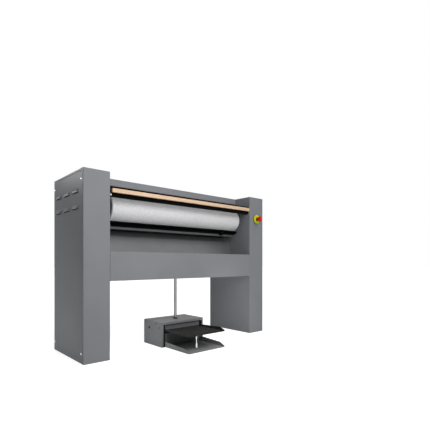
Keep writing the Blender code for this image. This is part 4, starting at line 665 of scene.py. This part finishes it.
def join_rings(bm, rings, capped=False):
    """Faces between each ring of corners and the next, and over the first and last if capped."""
    for near, far in zip(rings, rings[1:]):
        for step in range(len(near)):
            after = (step + 1) % len(near)
            bm.faces.new((near[step], near[after], far[after], far[step]))
    if capped:
        bm.faces.new(rings[0])
        bm.faces.new(rings[-1])


def turned(profile, steps=TURN_STEPS):
    """Solid of revolution about Z from (radius, height) points; it closes on the axis."""
    bm = bmesh.new()
    angles = [math.tau * step / steps for step in range(steps)]
    rings = []
    for radius, height in profile:
        if radius < AXIS_REACH:
            rings.append([bm.verts.new((0.0, 0.0, height))])
        else:
            rings.append([bm.verts.new((radius * math.cos(angle), radius * math.sin(angle),
                                        height)) for angle in angles])
    for lower, upper in zip(rings, rings[1:]):
        for step in range(steps):
            after = (step + 1) % steps
            corners = [lower[step % len(lower)], lower[after % len(lower)],
                       upper[after % len(upper)], upper[step % len(upper)]]
            bm.faces.new(list(dict.fromkeys(corners)))
    return bm


def slab(bm, outline, start, end, axis="Z"):
    """Adds a closed prism of a flat outline, from start to end along an axis."""
    def corner(first, second, along):
        return {"X": (along, first, second), "Y": (first, along, second),
                "Z": (first, second, along)}[axis]

    join_rings(bm, [[bm.verts.new(corner(first, second, along)) for first, second in outline]
                    for along in (start, end)], capped=True)


def block(low_x, low_y, high_x, high_y):
    """Outline of a rectangle."""
    return [(low_x, low_y), (high_x, low_y), (high_x, high_y), (low_x, high_y)]


def shifted(outline, x, y):
    """The same outline, moved."""
    return [(x + first, y + second) for first, second in outline]


def round_edges(item, width):
    """Rounds a piece's edges."""
    modifier = item.modifiers.new("rounded", "BEVEL")
    modifier.width = width
    modifier.segments = ROUND_SEGMENTS
    modifier.limit_method = "ANGLE"


# Places taken from the CAD model

def low(node):
    """Low corner of a node's box."""
    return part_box(node)[0]


def high(node):
    """High corner of a node's box."""
    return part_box(node)[1]


FRONT_Y = low("left_tower_casing").y
REAR_Y = high("left_rear_cover").y
COVER_X = high("right_tower_casing").x
ROLL_Y = (low("roll_tube").y + high("roll_tube").y) / 2
ROLL_Z = (low("roll_tube").z + high("roll_tube").z) / 2
ROLL_RADIUS = high("roll_cloth").z - ROLL_Z
ROLL_HALF = high("roll_cloth").x


# Fasteners

def screw_mesh(radius, finish):
    """Domed head with a cross recess."""
    dome = radius * SCREW_DOME_SHARE
    profile = [(0.0, dome)]
    for ring in range(1, SCREW_RINGS + 1):
        angle = math.pi / 2 * ring / SCREW_RINGS
        profile.append((radius * math.sin(angle), dome * math.cos(angle) + SCREW_CROWN))
    profile += [(radius, 0.0), (0.0, 0.0)]
    head = add_object("head", mesh_of("head", turned(profile, SCREW_STEPS)))

    bm = bmesh.new()
    reach = radius * SCREW_SLOT_REACH_SHARE * 2
    width = radius * SCREW_SLOT_SHARE * 2
    depth = dome * SCREW_SLOT_DEPTH_SHARE
    for size in ((reach, width, depth), (width, reach, depth)):
        bmesh.ops.create_cube(bm, size=1.0, matrix=Matrix.LocRotScale((0, 0, dome), None, size))
    recess = add_object("recess", mesh_of("recess", bm))

    modifier = head.modifiers.new("recess", "BOOLEAN")
    modifier.operation = "DIFFERENCE"
    modifier.object = recess
    modifier.use_self = True
    graph = bpy.context.evaluated_depsgraph_get()
    mesh = bpy.data.meshes.new_from_object(head.evaluated_get(graph))
    mesh.name = "screw"
    bpy.data.objects.remove(head)
    bpy.data.objects.remove(recess)
    dress(mesh, finish)
    return mesh


def cover_screws():
    """Places and directions of the bright screws in the side covers and the rear ones."""
    for side, name in ((-1, "left"), (1, "right")):
        for depth in SIDE_SCREW_DEPTHS:
            for height in SIDE_SCREW_HEIGHTS:
                yield (side * COVER_X, FRONT_Y + depth, height), (side, 0, 0)
        cover_low, cover_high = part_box(name + "_rear_cover")
        for x in (cover_low.x + TOWER_REAR_INSET, cover_high.x - TOWER_REAR_INSET):
            for height in TOWER_REAR_HEIGHTS:
                yield (x, REAR_Y, height), (0, 1, 0)
    cover_low, cover_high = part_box("rear_cover")
    left = cover_low.x + REAR_COVER_SIDE_INSET
    width = cover_high.x - cover_low.x - 2 * REAR_COVER_SIDE_INSET
    for column in range(REAR_COVER_COLUMNS):
        x = left + width * column / (REAR_COVER_COLUMNS - 1)
        for height in (cover_low.z + REAR_COVER_INSET, cover_high.z - REAR_COVER_INSET):
            yield (x, REAR_Y, height), (0, 1, 0)


def housing_screws():
    """Places and directions of the dark screws in the treadle housing's sides."""
    housing_low, housing_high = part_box("pedal_housing")
    for side, x in ((-1, housing_low.x), (1, housing_high.x)):
        for depth, height in HOUSING_SCREWS:
            yield (x, FRONT_Y + depth, height), (side, 0, 0)


def put_screws(screws, first, mesh):
    """Adds numbered screws to the frame, each turned a little further than the one before."""
    for number, (place, direction) in enumerate(screws, first):
        put("screw_%02d" % number, mesh, "frame",
            facing(place, direction, number * SCREW_TURN))


def add_screws():
    """Bright screws of the covers and the guard, small dark ones of the treadle housing."""
    bright = screw_mesh(SCREW_RADIUS, CHROMED)
    dark = screw_mesh(SMALL_SCREW_RADIUS, DARK_SCREW)
    covers = list(cover_screws())
    put_screws(covers, 1, bright)
    guard_low = low("guard_profile")
    place = (guard_low.x + GUARD_SCREW_INSET, guard_low.y, guard_low.z + GUARD_SCREW_RISE)
    put("guard_screw", bright, "guard", facing(place, (0, -1, 0)))
    put_screws(housing_screws(), len(covers) + 1, dark)


# Roll covering

def sleeve_profile(outer):
    """(x, radius, gather) from the edge of the left hem to the edge of the right one."""
    end = -ROLL_HALF + CLOTH / 2
    half = []
    for step in range(CLOTH_HEM_STEPS + 1):
        gather = 1 - step / CLOTH_HEM_STEPS
        half.append((end, outer - CLOTH_EDGE - CLOTH_HEM * gather, gather))
    for step in range(1, CLOTH_EDGE_STEPS + 1):
        angle = math.pi / 2 * step / CLOTH_EDGE_STEPS
        half.append((end + CLOTH_EDGE * (1 - math.cos(angle)),
                     outer - CLOTH_EDGE + CLOTH_EDGE * math.sin(angle), 0.0))
    start = half[-1][0]
    middle = [(start - 2 * start * step / CLOTH_ALONG, outer, 0.0)
              for step in range(1, CLOTH_ALONG)]
    return half + middle + [(-x, radius, gather) for x, radius, gather in reversed(half)]


def cloth_corner(x, radius, gather, angle):
    """Place of one corner of the sleeve, with the hem's gathers and a slight sag."""
    ripple = CLOTH_RIPPLE * gather * math.sin(CLOTH_RIPPLES * angle)
    sag = CLOTH_SAG * noise.noise((x * CLOTH_SAG_ALONG, math.cos(angle) * CLOTH_SAG_AROUND,
                                   math.sin(angle) * CLOTH_SAG_AROUND))
    reach = radius - abs(sag) - abs(ripple)
    return (x + math.copysign(ripple * CLOTH_PUCKER_SHARE, -x),
            ROLL_Y + reach * math.cos(angle), ROLL_Z + reach * math.sin(angle))


def add_roll_cloth():
    """The sleeve: a woven tube pulled over the padding and gathered round its ends."""
    outer = ROLL_RADIUS - CLOTH / 2
    profile = sleeve_profile(outer)
    travel = [0.0]
    for here, there in zip(profile, profile[1:]):
        travel.append(travel[-1] + math.dist(here[:2], there[:2]))
    bm = bmesh.new()
    threads = bm.loops.layers.uv.new("threads")
    angles = [math.tau * step / CLOTH_AROUND for step in range(CLOTH_AROUND)]
    rows = [[bm.verts.new(cloth_corner(*ring, angle)) for angle in angles] for ring in profile]
    around = math.tau * outer / CLOTH_AROUND
    for number, (near, far) in enumerate(zip(rows, rows[1:])):
        for step in range(CLOTH_AROUND):
            after = (step + 1) % CLOTH_AROUND
            face = bm.faces.new((near[step], near[after], far[after], far[step]))
            places = ((step, number), (step + 1, number),
                      (step + 1, number + 1), (step, number + 1))
            for loop, (turn, along) in zip(face.loops, places):
                loop[threads].uv = (turn * around, travel[along])
    sleeve = show("roll_sleeve", bm, CLOTH_LOOK, "roll", sharp=SMOOTH)
    thickness = sleeve.modifiers.new("thickness", "SOLIDIFY")
    thickness.thickness = CLOTH
    thickness.offset = 0.0
    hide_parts("roll_cloth")


def add_padding():
    """Felt wound on the tube, its ends trimmed at a slant."""
    inner = high("roll_tube").z - ROLL_Z
    outer = ROLL_RADIUS - CLOTH - PADDING_GAP
    trimmed = outer - PADDING_SLANT
    half = high("roll_felt").x
    straight = half - PADDING_SLANT
    profile = [(inner, -half), (trimmed, -half), (outer, -straight), (outer, straight),
               (trimmed, half), (inner, half), (inner, -half)]
    matrix = Matrix.Translation((0, ROLL_Y, ROLL_Z)) @ Matrix.Rotation(math.pi / 2, 4, "Y")
    padding = show("roll_padding", turned(profile, PADDING_STEPS), FELT, "roll", matrix)
    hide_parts("roll_felt")


def add_wool():
    """Mineral wool under the chest, between the heaters and the cover sheet."""
    half = high("chest_insulation").x
    sweep = [math.radians(WOOL_START + WOOL_SWEEP * step / WOOL_TURNS)
             for step in range(WOOL_TURNS + 1)]
    bm = bmesh.new()
    rows = []
    for column in range(WOOL_COLUMNS + 1):
        x = -half + 2 * half * column / WOOL_COLUMNS
        pinch = WOOL_PINCH * (1 - min(1.0, (half - abs(x)) / WOOL_PINCH_REACH))
        ring = []
        for angle in sweep:
            puff = WOOL_PUFF * noise.noise((x * WOOL_PUFF_ALONG, angle * WOOL_PUFF_AROUND, 0.0))
            ring.append((angle, WOOL_OUTER + puff - pinch))
        ring += [(angle, WOOL_INNER + pinch) for angle in reversed(sweep)]
        rows.append([bm.verts.new((x, ROLL_Y - radius * math.cos(angle),
                                   ROLL_Z - radius * math.sin(angle)))
                     for angle, radius in ring])
    join_rings(bm, rows, capped=True)
    wool = show("chest_wool", bm, WOOL, "chest")
    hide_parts("chest_insulation")


# Emergency stop

def add_estop():
    """Mushroom head with a grip rim, on a yellow ring with a grey rim and a black collar."""
    head_low, head_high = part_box("estop_button")
    x = (head_low.x + head_high.x) / 2
    z = (head_low.z + head_high.z) / 2
    length = head_high.y - head_low.y
    radius = (head_high.x - head_low.x) / 2
    profile = [(radius * share, length - depth) for share, depth in ESTOP_HEAD]
    profile += [(ESTOP_NECK, length - ESTOP_NECK_DEPTH), (ESTOP_NECK, 0.0), (0.0, 0.0)]
    head = show("estop_head", turned(profile), RED, "estop",
                facing((x, head_high.y, z), (0, -1, 0)), sharp=ESTOP_SHARP)
    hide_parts("estop_button")

    plate_low, plate_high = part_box("estop_plate")
    radius = (plate_high.x - plate_low.x) / 2
    edge = radius - ESTOP_ROUND
    front = FRONT_Y - plate_low.y
    back = FRONT_Y - plate_high.y
    place = facing((x, FRONT_Y, z), (0, -1, 0))
    profile = [(ESTOP_BORE, back), (ESTOP_SLEEVE, back), (ESTOP_SLEEVE, 0.0), (radius, 0.0),
               (radius, ESTOP_SEAT - ESTOP_ROUND), (edge, ESTOP_SEAT), (ESTOP_BORE, ESTOP_SEAT),
               (ESTOP_BORE, back)]
    rim = show("estop_rim", turned(profile), GREY_PLASTIC, "frame", place)
    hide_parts("estop_plate")

    profile = [(RING_BORE, ESTOP_SEAT), (edge, ESTOP_SEAT),
               (edge, front - RING_OUTER_ROUND), (edge - RING_OUTER_ROUND, front),
               (RING_BORE + RING_INNER_ROUND, front),
               (RING_BORE, front - RING_INNER_ROUND), (RING_BORE, ESTOP_SEAT)]
    show("estop_ring", turned(profile), YELLOW, "frame", place)

    profile = [(ESTOP_BORE, ESTOP_SEAT), (ESTOP_COLLAR[0][0], ESTOP_SEAT)]
    profile += [(reach, front + rise) for reach, rise in ESTOP_COLLAR]
    profile += [(ESTOP_BORE, front + ESTOP_COLLAR[-1][1]), (ESTOP_BORE, ESTOP_SEAT)]
    show("estop_collar", turned(profile), BLACK_PLASTIC, "frame", place)


# Trim

def add_chest_lip():
    """Folded lip along the front of the chest's cover."""
    cover_low, cover_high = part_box("chest_cover")
    bm = bmesh.new()
    slab(bm, shifted(LIP_OUTLINE, cover_low.y, 0.0),
         cover_low.x + LIP_INSET, cover_high.x - LIP_INSET, "X")
    lip = show("chest_lip", bm, BLACK, "chest")
    round_edges(lip, LIP_ROUND)


def add_edge_guards():
    """Rubber guards on both edges of the treadle opening."""
    housing_low, housing_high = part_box("pedal_housing")
    treadle_low, treadle_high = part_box("treadle")
    front = housing_low.y - EDGE_SKIN
    for side, sign, outside, inside in (("left", 1, housing_low.x, treadle_low.x),
                                        ("right", -1, housing_high.x, treadle_high.x)):
        edge = outside + sign * OPENING_EDGE
        lap = edge - sign * EDGE_LAP
        leg = edge + sign * EDGE_LEG
        inner = inside - sign * EDGE_GAP
        outline = [(lap, front), (inner, front), (inner, front + EDGE_DEPTH),
                   (leg, front + EDGE_DEPTH), (leg, front + EDGE_SKIN),
                   (lap, front + EDGE_SKIN)]
        bm = bmesh.new()
        slab(bm, outline, EDGE_BOTTOM, EDGE_TOP)
        guard = show(side + "_edge_guard", bm, EDGE_RUBBER, "frame")
        round_edges(guard, TRIM_ROUND)


def add_face_plates():
    """Face under the treadle's front edge, and the plate behind it in the recess."""
    treadle_low, treadle_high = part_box("treadle")
    left = treadle_low.x + PLATE_INSET
    right = treadle_high.x - PLATE_INSET
    for name, body, finish, bottom, top, front in (
            ("treadle_face", "treadle", FACE_COAT, FACE_BOTTOM, treadle_high.z - FACE_TOP_GAP,
             FACE_FRONT),
            ("recess_plate", "frame", HOUSING_COAT, RECESS_BOTTOM, RECESS_TOP,
             low("pedal_housing").y + RECESS_DEPTH)):
        bm = bmesh.new()
        slab(bm, block(left, bottom, right, top), front, front + PLATE_SKIN, "Y")
        round_edges(show(name, bm, finish, body), TRIM_ROUND)


def add_grommet():
    """Rubber ring where the guide tube enters the treadle housing."""
    tube_low, tube_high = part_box("guide_tube")
    centre = (tube_low + tube_high) / 2
    radius = (tube_high.x - tube_low.x) / 2
    show("tube_grommet", turned(shifted(GROMMET, radius, 0.0)), RUBBER, "frame",
         Matrix.Translation((centre.x, centre.y, high("pedal_housing").z)), sharp=BLUNT)


# Treadle spring

def add_spring():
    """Coil under the treadle, in place of the CAD spring."""
    spring_low, spring_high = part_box("treadle_spring")
    centre = (spring_low + spring_high) / 2
    length = spring_high.z - spring_low.z
    radius = (spring_high.x - spring_low.x) / 2 - SPRING_WIRE
    count = SPRING_TURNS * SPRING_STEPS
    bm = bmesh.new()
    rings = []
    for step in range(count + 1):
        turn = math.tau * step / SPRING_STEPS
        middle = spring_low.z + SPRING_WIRE + (length - 2 * SPRING_WIRE) * step / count
        ring = []
        for side in range(SPRING_SIDES):
            angle = math.tau * side / SPRING_SIDES
            reach = radius + SPRING_WIRE * math.cos(angle)
            ring.append(bm.verts.new((centre.x + reach * math.cos(turn),
                                      centre.y + reach * math.sin(turn),
                                      middle + SPRING_WIRE * math.sin(angle))))
        rings.append(ring)
    join_rings(bm, rings, capped=True)
    spring = show("return_coil", bm, STEEL, "frame", sharp=BLUNT)
    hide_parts("treadle_spring")
    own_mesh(spring)


# Control panel

def key_frame(size):
    """Thin printed square frame with rounded corners."""
    bm = bmesh.new()

    def ring(inset, height):
        radius = KEY_FRAME_CORNER - inset
        centre = size / 2 - KEY_FRAME_CORNER
        corners = []
        for sign_x, sign_y, start in ((1, 1, 0), (-1, 1, 90), (-1, -1, 180), (1, -1, 270)):
            for step in range(KEY_FRAME_CORNER_STEPS + 1):
                angle = math.radians(start + 90 * step / KEY_FRAME_CORNER_STEPS)
                corners.append(bm.verts.new((sign_x * centre + radius * math.cos(angle),
                                             sign_y * centre + radius * math.sin(angle),
                                             height)))
        return corners

    outer_low, outer_high = ring(0.0, 0.0), ring(0.0, PRINT_SKIN)
    inner_low, inner_high = ring(KEY_FRAME_LINE, 0.0), ring(KEY_FRAME_LINE, PRINT_SKIN)
    join_rings(bm, [outer_low, outer_high, inner_high, inner_low, outer_low])
    return bm


def add_key_print(top):
    """A frame round each key and a mark on it: a triangle to start, steps beside a bar to set."""
    marks = {"start_key": [START_MARK], "set_key": [block(*corners) for corners in SET_MARKS]}
    for key, size in KEY_FRAMES.items():
        key_low, key_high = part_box(key)
        x = (key_low.x + key_high.x) / 2
        y = (key_low.y + key_high.y) / 2
        show(key + "_frame", key_frame(size), PRINT, "frame",
             Matrix.Translation((x, y, top)))
        bm = bmesh.new()
        for outline in marks[key]:
            slab(bm, outline, 0.0, PRINT_SKIN)
        show(key + "_mark", bm, PRINT, key,
             Matrix.Translation((x, y, key_high.z)))


def add_panel():
    """Print of the keys, four lamps with an iron and one to four dots each, a lamp for power."""
    top = high("control_panel").z
    add_key_print(top)
    lens_low, lens_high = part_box("lamp_lens")
    x = (lens_low.x + lens_high.x) / 2
    bm = bmesh.new()
    for step in range(LAMP_COUNT):
        y = lens_high.y - LAMP_INSET - LAMP_PITCH * step
        show("heat_lamp_%d" % (step + 1), turned(LAMP_DOME, LAMP_STEPS), LAMP, "frame",
             Matrix.Translation((x, y, lens_high.z)))
        left = x + IRON_REACH
        outlines = [shifted(IRON_SOLE, left, y), shifted(IRON_HANDLE, left, y)]
        outlines += [shifted(block(*HEAT_DOT), left + HEAT_DOT_PITCH * dot, y)
                     for dot in range(LAMP_COUNT - step)]
        for outline in outlines:
            slab(bm, outline, top, top + PRINT_SKIN)
    lamp_x = x + POWER_LAMP_REACH
    lamp_y = lens_high.y - POWER_LAMP_INSET
    slab(bm, shifted(block(*POWER_MARK), lamp_x, lamp_y), top, top + PRINT_SKIN)
    show("heat_marks", bm, PRINT, "frame")
    show("power_lamp", turned(LAMP_DOME, LAMP_STEPS), LAMP, "frame",
         Matrix.Translation((lamp_x, lamp_y, top)))


# Light, floor and camera

def aimed(name, data, direction):
    """Adds a light or camera that looks along a direction."""
    item = add_object(name, data)
    item.rotation_euler = Vector(direction).to_track_quat("-Z", "Y").to_euler()
    return item


def add_sun(name, share, direction, spread):
    """Sun that lights a surface facing it to a share of the plain level."""
    data = bpy.data.lights.new(name, "SUN")
    data.energy = share * math.pi
    data.angle = math.radians(spread)
    aimed(name, data, direction).visible_glossy = False


def add_lamp(name, share, place, target, size, gloss_only=False):
    """Square lamp that lights its target to a share of the plain level, or is only reflected."""
    direction = Vector(target) - Vector(place)
    data = bpy.data.lights.new(name, "AREA")
    data.shape = "SQUARE"
    data.size = size
    data.energy = share * math.pi ** 2 * direction.length_squared
    item = aimed(name, data, direction)
    item.location = place
    item.visible_camera = False
    item.visible_diffuse = not gloss_only
    item.visible_glossy = gloss_only


def seen_directly(tree):
    """1 on camera, glossy and transmission rays, and 0 on the rest."""
    path = tree.nodes.new("ShaderNodeLightPath")
    total = path.outputs["Is Camera Ray"]
    for name in ("Is Glossy Ray", "Is Transmission Ray"):
        node = tree.nodes.new("ShaderNodeMath")
        node.operation = "MAXIMUM"
        tree.links.new(total, node.inputs[0])
        tree.links.new(path.outputs[name], node.inputs[1])
        total = node.outputs["Value"]
    return total


def add_world():
    """Dim even sky that is white where it is seen."""
    world = bpy.data.worlds.new("studio")
    bpy.context.scene.world = world
    world.use_nodes = True
    tree = world.node_tree
    ambient = tree.nodes["Background"]
    white = tree.nodes.new("ShaderNodeBackground")
    for node, strength in ((ambient, SKY), (white, 1.0)):
        node.inputs["Color"].default_value = WHITE
        node.inputs["Strength"].default_value = strength
    mix = tree.nodes.new("ShaderNodeMixShader")
    tree.links.new(seen_directly(tree), mix.inputs["Fac"])
    tree.links.new(ambient.outputs["Background"], mix.inputs[1])
    tree.links.new(white.outputs["Background"], mix.inputs[2])
    tree.links.new(mix.outputs["Shader"], tree.nodes["World Output"].inputs["Surface"])


def add_floor():
    """Pale plain floor that shows the shadow and is white where no shadow falls."""
    bm = bmesh.new()
    bmesh.ops.create_grid(bm, x_segments=1, y_segments=1, size=FLOOR_HALF)
    floor = add_object("floor", mesh_of("floor", bm))
    look = Finish("pale_floor", roughness=0.95, specular=0.0)
    look.drive("Base Color", look.between(look.noise(size=FLOOR_CLOUD),
                                          lighter(WHITE, FLOOR_CLOUD_TONE),
                                          lighter(WHITE, FLOOR_TONE)))
    look.set("Emission Color", WHITE)
    look.drive("Emission Strength", look.maths("MULTIPLY", seen_directly(look.tree), FLOOR_GLOW))
    floor.data.materials.append(look.material)


def add_camera():
    """Camera at the photograph's place and angle."""
    data = bpy.data.cameras.new("camera")
    data.lens = CAMERA_LENS
    data.sensor_width = CAMERA_SENSOR
    data.shift_x, data.shift_y = CAMERA_SHIFT
    data.clip_end = CAMERA_REACH
    camera = aimed("camera", data, CAMERA_LOOK)
    camera.location = CAMERA_PLACE
    bpy.context.scene.camera = camera


bpy.context.scene.view_settings.view_transform = "Standard"
add_camera()
add_world()
add_floor()
for sun_name, sun in SUNS.items():
    add_sun(sun_name, *sun)
for lamp_name, lamp in LAMPS.items():
    add_lamp(lamp_name, *lamp)
add_lamp("glint_lamp", *GLINT_LAMP, gloss_only=True)
dress_nodes()
add_screws()
add_roll_cloth()
add_padding()
add_wool()
add_estop()
add_chest_lip()
add_edge_guards()
add_face_plates()
add_grommet()
add_spring()
add_panel()
